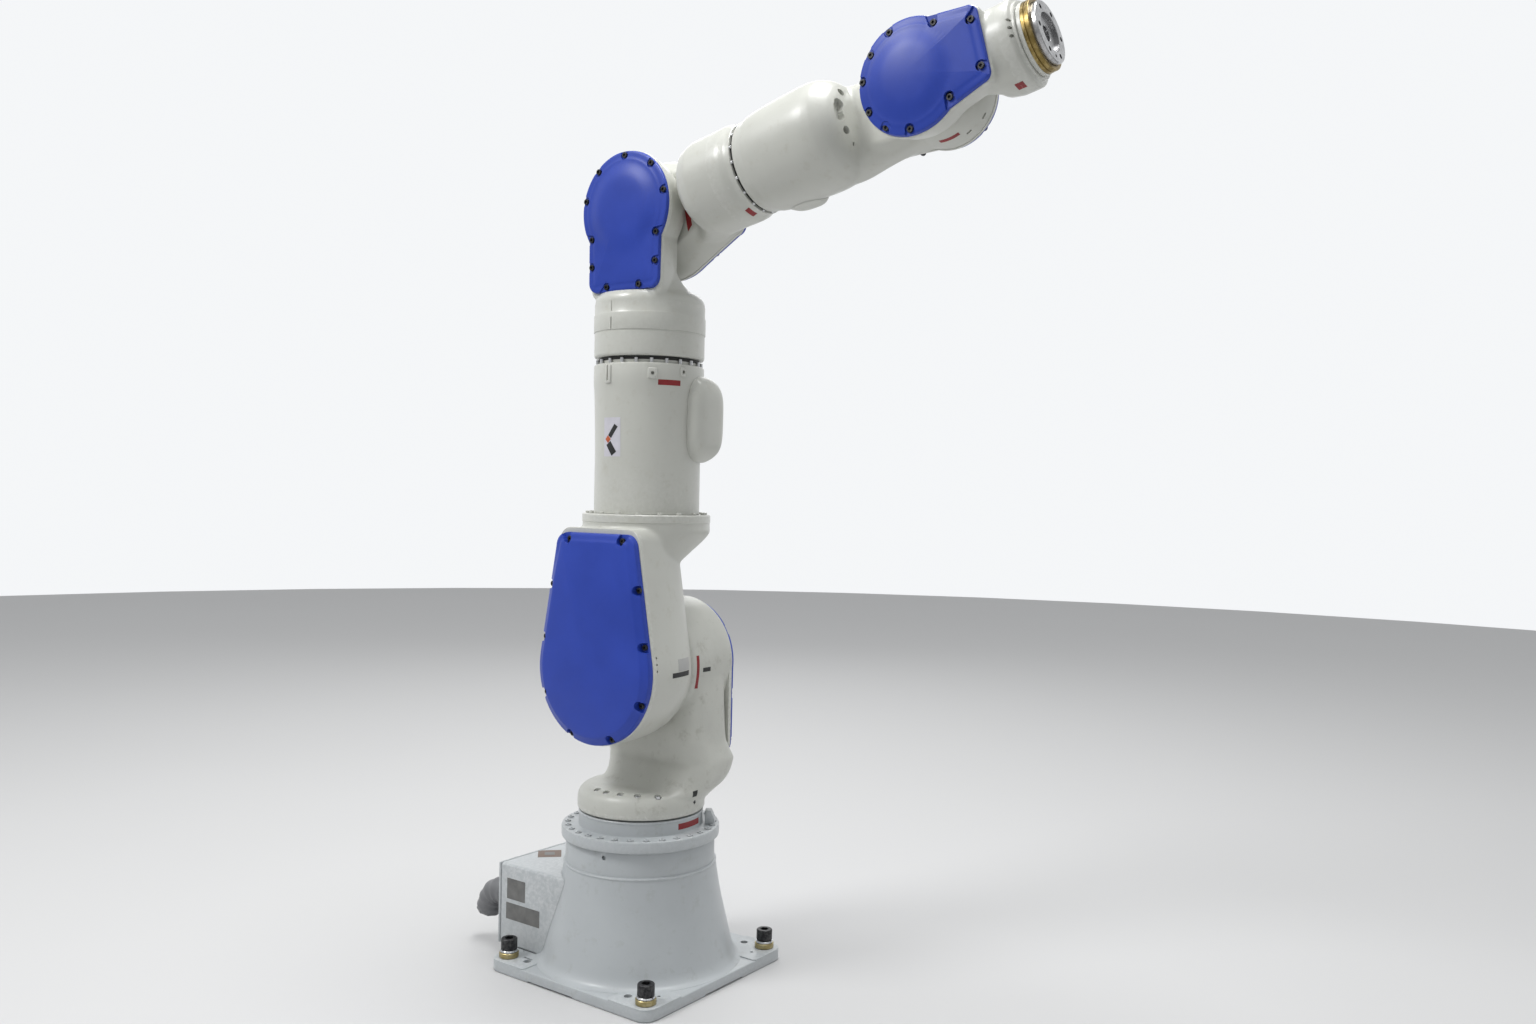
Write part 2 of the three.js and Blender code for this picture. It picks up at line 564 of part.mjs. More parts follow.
// ---------------------------------------------------------------- tool flange, turns about the wrist
function toolFlange() {
  const body = turned([
    [0, T_SEAM - 6], [44, T_SEAM - 6], [44, T_SEAM + 13], [50, T_SEAM + 13],
    [50, TOOL_FACE - 1.5], [48.5, TOOL_FACE], [31, TOOL_FACE], [31, TOOL_FACE - 6], [0, TOOL_FACE - 6],
  ], LARGE);
  const holes = Array.from({ length: 6 }, (_, i) => {
    const angle = ((i + 0.5) / 6) * Math.PI * 2;
    return bar(4, TOOL_FACE - 14, TOOL_FACE + 1, 8).translate([40 * Math.cos(angle), 40 * Math.sin(angle), 0]);
  });
  return cut(body, ...holes);
}

const robot = new THREE.Group();
addBase(robot);
addSwivel(robot);
addShoulder(robot);
addElbow(robot);

const forearm = new THREE.Group();
forearm.position.set(0, 0, U_Z);
forearm.rotation.y = ELBOW_BEND;
addForearmBase(forearm);
addForearmTube(forearm);
robot.add(forearm);

const wrist = new THREE.Group();
wrist.position.set(0, 0, FOREARM);
wrist.rotation.y = WRIST_BEND;
addWrist(wrist);
wrist.add(piece("tool_flange", toolFlange(), MACHINED));
forearm.add(wrist);

export default robot;
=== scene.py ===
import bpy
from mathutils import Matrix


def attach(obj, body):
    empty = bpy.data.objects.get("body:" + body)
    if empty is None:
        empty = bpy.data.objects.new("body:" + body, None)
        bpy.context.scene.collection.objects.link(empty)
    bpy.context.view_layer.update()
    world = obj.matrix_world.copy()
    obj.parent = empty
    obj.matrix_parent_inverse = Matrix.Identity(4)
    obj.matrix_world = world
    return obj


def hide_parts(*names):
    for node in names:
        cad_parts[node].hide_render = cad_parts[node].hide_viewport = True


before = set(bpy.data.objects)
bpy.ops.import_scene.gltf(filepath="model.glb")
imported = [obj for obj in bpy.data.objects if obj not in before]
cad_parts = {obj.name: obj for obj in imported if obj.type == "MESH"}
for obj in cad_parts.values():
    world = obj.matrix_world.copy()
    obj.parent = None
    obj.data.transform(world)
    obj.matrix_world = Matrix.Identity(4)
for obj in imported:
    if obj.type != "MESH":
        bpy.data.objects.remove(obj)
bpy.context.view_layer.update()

# The looks of a seven-axis articulated robot arm. Shapes are written in millimetres, in the frame of the
# CAD model: +Z up, +X the way the arm reaches, origin under the middle of the base plate.
import math

import bmesh
import bpy
import numpy as np
from mathutils import Matrix, Vector
from mathutils.bvhtree import BVHTree

MM = 0.001
SIDES = 144  # sides of a full circle
VOXEL = 2.8  # grain of the cast shapes before they are smoothed
BEVEL_ANGLE = 40  # degrees; edges sharper than this are bevelled
UP = (0, 0, 1)

PLATE_HALF, PLATE_THICK, PLATE_CORNER, PAD = 200, 20, 26, 2
BOLT_HALF_SPACING = 172.5
SEAM = 1.5
SWIVEL_SEAM, L_Z, SHOULDER_TOP, U_Z = 303, 578, 863, 1430  # heights; L is the shoulder axis, U the elbow axis
FOREARM = 615  # elbow axis to wrist axis
TOOL_SEAM, TOOL_FACE = 178, 207  # wrist axis to the tool's turning face and to its end
PANEL_X, PORT_Z = -250, 104  # face of the rear panel, and height of what plugs into it
RING_SCREWS = (30, 138.5, 4)  # bearing ring screws: count, radius of their circle, first angle
LEDGE_SCREWS = ((-22, -98), (4, -101), (34, -96), (64, -82), (92, -58))
SLOTTED_BOSS = 15  # width of the bosses on the upper arm that have a slot and not a hole
ELBOW_BEND, WRIST_BEND = math.radians(77.3), math.radians(-2)

# Cover outlines: a circle on the joint axis with a tail, drawn with so many steps round the circle and each
# corner, and so many pieces along each flank and the tail's end.
ARC_STEPS, CORNER_STEPS, FLANK_PIECES, END_PIECES = 88, 8, 30, 16
L_NEAR = {"r": 138, "w0": 136, "w1": 99, "length": 250, "corner": 26}
L_FAR = {"r": 121, "w0": 120.5, "w1": 120, "length": 178, "corner": 24}
U_NEAR = {"r": 105, "w0": 88, "w1": 87, "length": 153, "corner": 20}
U_FAR = {"r": 114, "w0": 104, "w1": 72, "length": 158, "corner": 20}
B_NEAR = {"r": 93, "w0": 77, "w1": 63, "length": 129, "corner": 15}
B_FAR = {"r": 81, "w0": 70, "w1": 60, "length": 118, "corner": 16}

UPRIGHT = Matrix.Identity(4)
FOREARM_FRAME = Matrix.Translation((0, 0, U_Z)) @ Matrix.Rotation(ELBOW_BEND, 4, "Y")
WRIST_FRAME = FOREARM_FRAME @ Matrix.Translation((0, 0, FOREARM)) @ Matrix.Rotation(WRIST_BEND, 4, "Y")


# ---- shapes: (points, faces)
def turned(profile, axis="z", sides=SIDES):
    """A turned body from [radius, height] pairs. If the last pair is the first, it is a ring."""
    closed = list(profile[0]) == list(profile[-1])
    points, rows = [], []
    for r, h in profile[:-1] if closed else profile:
        first = len(points)
        if r < 1e-6:
            points.append((0, 0, h))
            rows.append([first] * sides)
            continue
        for i in range(sides):
            angle = 2 * math.pi * i / sides
            points.append((r * math.cos(angle), r * math.sin(angle), h))
        rows.append(list(range(first, first + sides)))
    faces = []
    for a, b in zip(rows, rows[1:] + ([rows[0]] if closed else []), strict=False):
        for i in range(sides):
            j = (i + 1) % sides
            corners = list(dict.fromkeys([a[i], a[j], b[j], b[i]]))
            if len(corners) > 2:
                faces.append(corners)
    return laid(np.array(points, float), axis), faces


def laid(points, axis):
    """Points about the z axis, laid along another axis."""
    return points[:, {"x": [2, 0, 1], "y": [0, 2, 1], "z": [0, 1, 2]}[axis]]


def bar(r, a, b, axis="z", sides=SIDES):
    low, high = min(a, b), max(a, b)
    return turned([(0, low), (r, low), (r, high), (0, high)], axis, sides)


def ring(outer, bore, a, b, axis="z", sides=SIDES, chamfer=0.6):
    c = chamfer
    return turned([
        (bore, a), (outer - c, a), (outer, a + c), (outer, b - c), (outer - c, b), (bore, b), (bore, a),
    ], axis, sides)


def skin(rings):
    """A closed skin through rings of points, with a fan on each end."""
    count = len(rings[0])
    points = np.concatenate([*rings, [np.mean(rings[0], 0)], [np.mean(rings[-1], 0)]])
    first_cap, last_cap = len(points) - 2, len(points) - 1
    last = (len(rings) - 1) * count
    faces = []
    for i in range(count):
        j = (i + 1) % count
        for k in range(len(rings) - 1):
            a, b = k * count, (k + 1) * count
            faces.append([a + i, a + j, b + j, b + i])
        faces.append([first_cap, j, i])
        faces.append([last_cap, last + i, last + j])
    return points, faces


def block(x0, x1, y0, y1, z0, z1):
    corners = [(x0, y0), (x1, y0), (x1, y1), (x0, y1)]
    return prism(corners, z0, z1)


def prism(corners, z0, z1):
    return skin([np.array([(x, y, z) for x, y in corners], float) for z in (z0, z1)])


def smooth_rows(rows, steps):
    """Rows of numbers with more rows between them, on a smooth curve through them."""
    rows = np.array(rows, float)
    out = []
    for k in range(len(rows) - 1):
        p0, p1, p2, p3 = rows[max(k - 1, 0)], rows[k], rows[k + 1], rows[min(k + 2, len(rows) - 1)]
        for s in range(steps):
            t = s / steps
            out.append(0.5 * (
                2 * p1 + (p2 - p0) * t + (2 * p0 - 5 * p1 + 4 * p2 - p3) * t * t
                + (3 * p1 - p0 - 3 * p2 + p3) * t ** 3
            ))
    return [*out, rows[-1]]


def loft(levels, steps=6, count=96):
    """A cast neck through levels (z, x low, x high, y low, y high, power), squarer as power grows from 2."""
    angle = np.arange(count) / count * 2 * math.pi
    rings = []
    for z, x0, x1, y0, y1, power in smooth_rows(levels, steps):
        u, v = (np.sign(f) * np.abs(f) ** (2 / power) for f in (np.cos(angle), np.sin(angle)))
        rings.append(np.stack([
            (x0 + x1) / 2 + (x1 - x0) / 2 * u, (y0 + y1) / 2 + (y1 - y0) / 2 * v, np.full(count, z),
        ], -1))
    return skin(rings)


def outline(shape, inset):
    """The points of a cover outline, drawn inwards by inset. v runs towards the tail."""
    radius = shape["r"] - inset
    root_half = min(shape["w0"] - inset, radius * 0.998)
    start = math.atan2(math.sqrt(radius ** 2 - root_half ** 2), root_half)
    bend = max(shape["corner"] - inset, 1)
    cu, cv = shape["w1"] - inset - bend, shape["length"] - inset - bend
    points = []
    for i in range(ARC_STEPS + 1):
        angle = start - i / ARC_STEPS * (math.pi + 2 * start)
        points.append((radius * math.cos(angle), radius * math.sin(angle)))
    for side in (-1, 1):
        for i in range(CORNER_STEPS + 1):
            step = i if side < 0 else CORNER_STEPS - i
            angle = step / CORNER_STEPS * math.pi / 2
            points.append((side * (cu + bend * math.cos(angle)), cv + bend * math.sin(angle)))
    return densified(np.array(points))


def densified(points):
    """The same closed outline with its straight flanks and tail end split into short pieces."""
    flanks, end = (ARC_STEPS, len(points) - 1), ARC_STEPS + CORNER_STEPS + 1
    out = []
    for k, p in enumerate(points):
        q = points[(k + 1) % len(points)]
        pieces = FLANK_PIECES if k in flanks else END_PIECES if k == end else 1
        out += [p + (q - p) * s / pieces for s in range(pieces)]
    return np.array(out)


def cheek(shape, layers, z=0.0, tail=1, steps=5):
    rows = smooth_rows(layers, steps) if steps > 1 else layers
    rings = []
    for y, inset in rows:
        uv = outline(shape, inset)
        rings.append(np.stack([uv[:, 0], np.full(len(uv), y), z + tail * uv[:, 1]], -1))
    return skin(rings)


def fade(value, low, high):
    t = np.clip((value - low) / (high - low), 0, 1)
    return t * t * (3 - 2 * t)


def crown(shape, rim, depth, side, z, tail, relief):
    """A moulded cover's outside: a drafted wall, a broad bevel and a dome that relief(u, v) shapes."""
    rows = [(0.0, 0.0), (0.2, 0.5), (0.38, 1.0), (0.425, 1.5), (0.46, 2.6), (0.56, 6.0), (0.67, 9.6),
            (0.78, 13.2),
            (0.815, 14.6), (0.84, 16.4), (0.85, 18.4)]
    rings = []
    for d, inset in rows:
        uv = outline(shape, inset)
        height = depth * d + relief(uv[:, 0], uv[:, 1]) * fade(d, 0.4, 0.84)
        rings.append(np.stack([uv[:, 0], rim + side * height, z + tail * uv[:, 1]], -1))
    edge = outline(shape, rows[-1][1])
    for t in (0.04, 0.09, 0.15, 0.22, 0.3, 0.38, 0.46, 0.55, 0.64, 0.73, 0.82, 0.91, 0.99):
        uv = edge * (1 - t)
        height = depth * (0.855 + 0.145 * (1 - (1 - t) ** 2)) + relief(uv[:, 0], uv[:, 1])
        rings.append(np.stack([uv[:, 0], rim + side * height, z + tail * uv[:, 1]], -1))
    return skin(rings)


def screw(r, height, socket, axis="z", base=0.0, knurl=0.0, way=1):
    """A socket head screw's head: chamfered, knurled where asked, with a six-sided socket."""
    count = 48
    angle = np.arange(count) / count * 2 * math.pi
    wave = 1 + knurl * np.sign(np.cos(angle * count / 2 + 0.1))
    hexagon = socket / np.cos((angle + math.pi / 6) % (math.pi / 3) - math.pi / 6)
    c = min(0.09 * r, 1.2)
    rows = [(r - c, 0, 0), (r, c, 1), (r, height - c, 1), (r - c, height, 0)]
    rings = [np.stack([(rr * (wave if k else 1)) * np.cos(angle), (rr * (wave if k else 1)) * np.sin(angle),
                       np.full(count, h)], -1) for rr, h, k in rows]
    for h in (height, height * 0.45):
        rings.append(np.stack([hexagon * np.cos(angle), hexagon * np.sin(angle), np.full(count, h)], -1))
    points, faces = skin(rings)
    points[:, 2] = base + way * points[:, 2]
    return laid(points, axis), faces


def shifted(shape, dx=0.0, dy=0.0, dz=0.0):
    return shape[0] + np.array((dx, dy, dz), float), shape[1]


def turned_by(shape, matrix):
    rotation = np.array(matrix)[:3, :3]
    return shape[0] @ rotation.T + np.array(matrix)[:3, 3], shape[1]


def spun(shape, degrees):
    return turned_by(shape, Matrix.Rotation(math.radians(degrees), 4, "Z"))


def flipped(shape):
    """The shape mirrored in the plane y = 0."""
    return shape[0] * np.array((1, -1, 1)), shape[1]


def around(shape, count, radius, start=0.0):
    """Copies of a shape, spaced evenly on a circle about the z axis. Angles are in degrees."""
    return [spun(shifted(shape, radius), start + 360 * i / count) for i in range(count)]


# ---- meshes
def as_object(name, *shapes, matrix=UPRIGHT):
    points, faces = [], []
    for shape_points, shape_faces in shapes:
        first = sum(len(p) for p in points)
        points.append(shape_points)
        faces += [[first + i for i in face] for face in shape_faces]
    mesh = bpy.data.meshes.new(name)
    mesh.from_pydata((np.concatenate(points) * MM).tolist(), [], faces)
    work = bmesh.new()
    work.from_mesh(mesh)
    bmesh.ops.recalc_face_normals(work, faces=work.faces)
    work.to_mesh(mesh)
    work.free()
    placed = matrix.copy()
    placed.translation = matrix.translation * MM
    mesh.transform(placed)
    made = bpy.data.objects.new(name, mesh)
    bpy.context.scene.collection.objects.link(made)
    return made


def settle(piece):
    """Applies the piece's modifiers."""
    graph = bpy.context.evaluated_depsgraph_get()
    mesh = bpy.data.meshes.new_from_object(piece.evaluated_get(graph))
    piece.modifiers.clear()
    piece.data = mesh


def combine(piece, operation, tools, matrix):
    """Joins or cuts the piece with closed shapes or objects, one after another."""
    for tool in tools:
        helper = tool if isinstance(tool, bpy.types.Object) else as_object("helper", tool, matrix=matrix)
        before = piece.data
        count = len(before.vertices)
        for solver in ("MANIFOLD", "EXACT"):
            step = piece.modifiers.new("combine", "BOOLEAN")
            step.operation, step.solver, step.object = operation, solver, helper
            settle(piece)
            if len(piece.data.vertices) not in (0, count):
                break
            piece.data = before
        bpy.data.objects.remove(helper)


def join(piece, *tools, matrix=UPRIGHT):
    combine(piece, "UNION", tools, matrix)


def cut(piece, *tools, matrix=UPRIGHT):
    combine(piece, "DIFFERENCE", tools, matrix)


def cast(name, *shapes, matrix=UPRIGHT, rounds=9):
    """One casting from overlapping shapes, its inner corners filled and its outer edges rounded."""
    piece = as_object(name, *shapes, matrix=matrix)
    grain = piece.modifiers.new("grain", "REMESH")
    grain.mode, grain.voxel_size, grain.use_smooth_shade = "VOXEL", VOXEL * MM, True
    soft = piece.modifiers.new("soft", "SMOOTH")
    soft.factor, soft.iterations = 0.5, rounds
    settle(piece)
    return piece


def bevelled(name, shape, width, segments=3):
    piece = as_object(name, shape)
    edge = piece.modifiers.new("edge", "BEVEL")
    edge.width, edge.segments, edge.limit_method = width * MM, segments, "ANGLE"
    edge.angle_limit = math.radians(BEVEL_ANGLE)
    settle(piece)
    return piece


def done(piece, body, material, replaces=(), sharp=34):
    """Gives a finished piece its material, and rides it on its body."""
    piece.data.materials.clear()
    piece.data.materials.append(material)
    piece.data.shade_smooth()
    piece.data.set_sharp_from_angle(angle=math.radians(sharp))
    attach(piece, body)
    if replaces:
        piece.name = replaces[0] + "_detailed"
        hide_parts(*replaces)


def sticker(target, body, matrix, name, centre, normal, up, width, height, material, diamond=False, lift=0.3):
    """A thin label that lies on the target's surface, as seen along its normal, in the frame of matrix."""
    mesh = target.data
    tree = BVHTree.FromPolygons([v.co for v in mesh.vertices], [p.vertices for p in mesh.polygons])
    centre, turn = matrix @ Vector(centre), matrix.to_3x3()
    n, up = (turn @ Vector(normal)).normalized(), turn @ Vector(up)
    v_way = (up - n * up.dot(n)).normalized()
    u_way = v_way.cross(n)
    columns, rows, sunk, diagonal = 14, 14, 0.25, 0.7071
    far, reach = 40, 0.09  # where a ray towards the surface starts, and how many metres it may go
    tops, bottoms = [], []
    for j in range(rows + 1):
        for i in range(columns + 1):
            u, v = (i / columns - 0.5) * width, (j / rows - 0.5) * height
            if diamond:
                u, v = (u + v) * diagonal, (v - u) * diagonal
            start = centre + u_way * u + v_way * v
            hit, hit_normal, _, _ = tree.ray_cast((start + n * far) * MM, -n, reach)
            at = hit / MM if hit else start
            out = hit_normal if hit else n
            tops.append(at + out * lift)
            bottoms.append(at - out * sunk)
    points = np.array([list(p) for p in tops + bottoms])
    stride, half = columns + 1, len(tops)
    faces = []
    for j in range(rows):
        for i in range(columns):
            a = j * stride + i
            faces.append([a, a + 1, a + stride + 1, a + stride])
            faces.append([half + a, half + a + stride, half + a + stride + 1, half + a + 1])
    border = list(range(columns)) + [columns + j * stride for j in range(rows)]
    border += [rows * stride + i for i in range(columns, 0, -1)] + [j * stride for j in range(rows, 0, -1)]
    for k, a in enumerate(border):
        b = border[(k + 1) % len(border)]
        faces.append([a, half + a, half + b, b])
    done(as_object(name, (points, faces)), body, material)


# ---- materials
def feed(links, socket, value):
    """Sets a socket to another socket's output, a colour or a number."""
    if isinstance(value, bpy.types.NodeSocket):
        links.new(value, socket)
    else:
        socket.default_value = (*value, 1) if isinstance(value, tuple) else value


def ramp(tree, source, low, high, a=0.0, b=1.0, kind="LINEAR"):
    """The source with low to high turned into a to b, and held beyond them."""
    node = tree.nodes.new("ShaderNodeMapRange")
    node.interpolation_type = kind
    node.inputs["From Min"].default_value, node.inputs["From Max"].default_value = low, high
    feed(tree.links, node.inputs["To Min"], a)
    feed(tree.links, node.inputs["To Max"], b)
    tree.links.new(source, node.inputs["Value"])
    return node.outputs["Result"]


def surface(name, colour, rough, metallic=0.0, coat=0.0, gloss=0.5, vary=0.06, mottle=9.0, grain=900.0,
            bump=0.12,
            depth=0.0002, wear=None, wear_amount=0.5, dirt=0.0):
    """A finish with slow colour variation, a fine surface grain, uneven gloss and worn edges."""
    made = bpy.data.materials.new(name)
    made.use_nodes = True
    tree = made.node_tree
    nodes, links = tree.nodes, tree.links
    shader = nodes["Principled BSDF"]
    shader.inputs["Metallic"].default_value = metallic
    shader.inputs["Coat Weight"].default_value = coat
    shader.inputs["Coat Roughness"].default_value = 0.22
    shader.inputs["Specular IOR Level"].default_value = gloss
    place = nodes.new("ShaderNodeTexCoord")

    def noise(scale, detail, roughness=0.55):
        node = nodes.new("ShaderNodeTexNoise")
        node.inputs["Scale"].default_value = scale
        node.inputs["Detail"].default_value = detail
        node.inputs["Roughness"].default_value = roughness
        links.new(place.outputs["Object"], node.inputs["Vector"])
        return node

    def mixed(factor, a, b):
        node = nodes.new("ShaderNodeMix")
        node.data_type = "RGBA"
        for socket, value in (("Factor", factor), ("A", a), ("B", b)):
            feed(links, node.inputs[socket], value)
        return node.outputs["Result"]

    uneven = 0.06  # how far the roughness goes each side of rough
    slow, fine = noise(mottle, 4), noise(grain, 3)
    dark = tuple(c * (1 - vary) for c in colour)
    light = tuple(min(1, c * (1 + vary)) for c in colour)
    shade = mixed(ramp(tree, slow.outputs["Fac"], 0.3, 0.7), dark, light)
    if dirt:
        spots = noise(38, 6, 0.7)
        grime = tuple(c * (1 - dirt) for c in (colour[0], colour[1] * 0.985, colour[2] * 0.95))
        shade = mixed(ramp(tree, spots.outputs["Fac"], 0.56, 0.74), shade, grime)
    if wear:
        edge = nodes.new("ShaderNodeNewGeometry")
        broken = noise(140, 5, 0.65)
        product = nodes.new("ShaderNodeMath")
        product.operation = "MULTIPLY"
        links.new(ramp(tree, edge.outputs["Pointiness"], 0.515, 0.58), product.inputs[0])
        links.new(ramp(tree, broken.outputs["Fac"], 0.42, 0.62, 0.0, wear_amount), product.inputs[1])
        shade = mixed(product.outputs["Value"], shade, wear)
    links.new(shade, shader.inputs["Base Color"])
    links.new(ramp(tree, slow.outputs["Fac"], 0.3, 0.7, rough - uneven, rough + uneven),
              shader.inputs["Roughness"])
    relief = nodes.new("ShaderNodeBump")
    relief.inputs["Strength"].default_value = bump
    relief.inputs["Distance"].default_value = depth
    links.new(fine.outputs["Fac"], relief.inputs["Height"])
    links.new(relief.outputs["Normal"], shader.inputs["Normal"])
    return made


def label(name, colour, rough, vary, mottle, bump=0.1):
    return surface(name, colour, rough, vary=vary, mottle=mottle, grain=1200, bump=bump)


ARM_PAINT = surface("arm_paint", (0.520, 0.525, 0.482), 0.36, coat=0.25, vary=0.035, grain=520, bump=0.22,
                    wear=(0.72, 0.72, 0.69), wear_amount=0.35, dirt=0.10)
CAST_PAINT = surface("rough_arm_paint", (0.505, 0.51, 0.468), 0.42, coat=0.2, vary=0.06, mottle=13, grain=210,
                     bump=0.42, depth=0.0006, wear=(0.70, 0.70, 0.67), wear_amount=0.5, dirt=0.24)
BASE_PAINT = surface("base_paint", (0.415, 0.440, 0.452), 0.40, coat=0.2, vary=0.04, grain=460, bump=0.26,
                     wear=(0.66, 0.67, 0.67), wear_amount=0.4, dirt=0.12)
BLUE = surface("blue_cover", (0.020, 0.052, 0.360), 0.38, gloss=0.34, vary=0.10, grain=1500, bump=0.10,
               wear=(0.09, 0.12, 0.45), wear_amount=0.3)
BLACK_OXIDE = surface("black_oxide", (0.016, 0.016, 0.018), 0.40, metallic=0.6, vary=0.3, grain=1300,
                      bump=0.3,
                      wear=(0.10, 0.10, 0.10), wear_amount=0.7)
YELLOW_ZINC = surface("yellow_zinc", (0.34, 0.28, 0.13), 0.34, metallic=0.9, vary=0.22, mottle=60, grain=700,
                      bump=0.2, wear=(0.62, 0.55, 0.36))
BRIGHT_ZINC = surface("bright_zinc", (0.62, 0.63, 0.64), 0.30, metallic=0.9, vary=0.10, mottle=70, grain=800,
                      bump=0.2, wear=(0.8, 0.8, 0.8))
MACHINED = surface("machined_steel", (0.38, 0.38, 0.385), 0.27, metallic=1.0, vary=0.08, mottle=30, grain=420,
                   bump=0.28, wear=(0.8, 0.8, 0.8))
GOLD = surface("gold_ring", (0.21, 0.15, 0.05), 0.36, metallic=1.0, vary=0.14, mottle=40, grain=520,
               bump=0.25,
               wear=(0.66, 0.52, 0.25))
GREY_SHELL = surface("grey_shell", (0.17, 0.173, 0.18), 0.42, metallic=0.3, vary=0.14, grain=900, bump=0.35,
                     wear=(0.26, 0.26, 0.27), wear_amount=0.7)
MOTOR = surface("motor_housing", (0.022, 0.023, 0.026), 0.46, vary=0.2, grain=700, bump=0.35)
REDUCER = surface("reducer_steel", (0.42, 0.43, 0.45), 0.34, metallic=0.9, vary=0.12, grain=500, bump=0.25)
# Black for the rings across the back of the two joint gaps: painted shade that stands for the dark gaps.
GAP_SHADE_BLACK = surface("gap_shade_black", (0.018, 0.018, 0.017), 0.62, vary=0.3, grain=1100, bump=0.4)
RED_LABEL = label("red_label", (0.23, 0.012, 0.014), 0.42, 0.12, 60)
BLACK_MARK = label("black_mark", (0.014, 0.014, 0.014), 0.5, 0.3, 90, 0.15)
GREY_LABEL = label("grey_label", (0.135, 0.135, 0.130), 0.45, 0.22, 55)
PALE_LABEL = label("pale_label", (0.56, 0.55, 0.60), 0.4, 0.06, 60)
BROWN_LABEL = label("brown_label", (0.12, 0.07, 0.045), 0.45, 0.25, 70)
ORANGE_MARK = label("orange_mark", (0.48, 0.10, 0.03), 0.45, 0.15, 90)
GREY_PATCH = label("grey_patch", (0.40, 0.40, 0.39), 0.42, 0.06, 60)


# ---- camera, light and floor
def add_camera():
    yaw, pitch, roll = 0.6304, -0.0164, 0.0201
    ahead = Vector((-math.sin(yaw) * math.cos(pitch), math.cos(yaw) * math.cos(pitch), math.sin(pitch)))
    right = Vector((math.cos(yaw), math.sin(yaw), 0))
    up = right.cross(ahead)
    x = right * math.cos(roll) + up * math.sin(roll)
    y = up * math.cos(roll) - right * math.sin(roll)
    camera = bpy.data.objects.new("camera", bpy.data.cameras.new("camera"))
    bpy.context.scene.collection.objects.link(camera)
    camera.data.sensor_width = 36
    camera.data.sensor_fit = "HORIZONTAL"
    camera.data.lens = 29.06
    camera.data.clip_end = 100
    turn = Matrix((x, y, -ahead)).transposed().to_4x4()
    camera.matrix_world = Matrix.Translation((1.5829, -1.7761, 0.9099)) @ turn
    bpy.context.scene.camera = camera


def add_lamp(name, place, aim, size, watts):
    lamp = bpy.data.objects.new(name, bpy.data.lights.new(name, "AREA"))
    bpy.context.scene.collection.objects.link(lamp)
    lamp.data.shape, lamp.data.size, lamp.data.energy = "DISK", size, watts
    lamp.location = place
    lamp.rotation_mode = "QUATERNION"
    lamp.rotation_quaternion = (Vector(aim) - Vector(place)).to_track_quat("-Z", "Y")


def add_sky():
    """A soft room: a bright wall behind the arm, and a dimmer side that it faces."""
    world = bpy.data.worlds.new("studio")
    bpy.context.scene.world = world
    world.use_nodes = True
    tree = world.node_tree
    nodes, links = tree.nodes, tree.links
    place, split = nodes.new("ShaderNodeTexCoord"), nodes.new("ShaderNodeSeparateXYZ")
    facing = nodes.new("ShaderNodeVectorMath")
    facing.operation = "DOT_PRODUCT"
    facing.inputs[1].default_value = (-0.589, 0.808, 0)
    links.new(place.outputs["Generated"], split.inputs["Vector"])
    links.new(place.outputs["Generated"], facing.inputs[0])

    wall = ramp(tree, split.outputs["Z"], 0.42, 0.66, 0.94, 0.34, "SMOOTHSTEP")
    room = ramp(tree, split.outputs["Z"], 0.0, 0.6, 0.42, 0.66, "SMOOTHSTEP")
    strength = ramp(tree, facing.outputs["Value"], -0.1, 0.5, room, wall, "SMOOTHSTEP")
    nodes["Background"].inputs["Color"].default_value = (0.97, 0.985, 1.0, 1)
    links.new(strength, nodes["Background"].inputs["Strength"])


def add_stage():
    add_lamp("key_light", (-1.4, -2.6, 3.9), (0.1, 0, 1.0), 1.4, 88)
    add_lamp("top_light", (0.5, 0.2, 4.3), (0.25, 0, 1.0), 2.0, 112)
    add_lamp("back_light", (-2.2, 2.8, 2.8), (0, 0, 0.9), 2.4, 22)
    add_sky()
    steps = 48
    angles = np.arange(steps) / steps * 2 * math.pi
    rings = [np.stack([r * np.cos(angles), r * np.sin(angles), np.full(steps, h)], -1)
             for r, h in ((9000.0, -0.5), (9000.0, -40.0))]
    floor = as_object("floor", skin(rings))
    floor.data.materials.append(surface("floor_paint", (0.54, 0.54, 0.54), 0.7, vary=0.01, mottle=0.6,
                                        grain=60, bump=0.02))
    bpy.context.scene.view_settings.view_transform = "Standard"


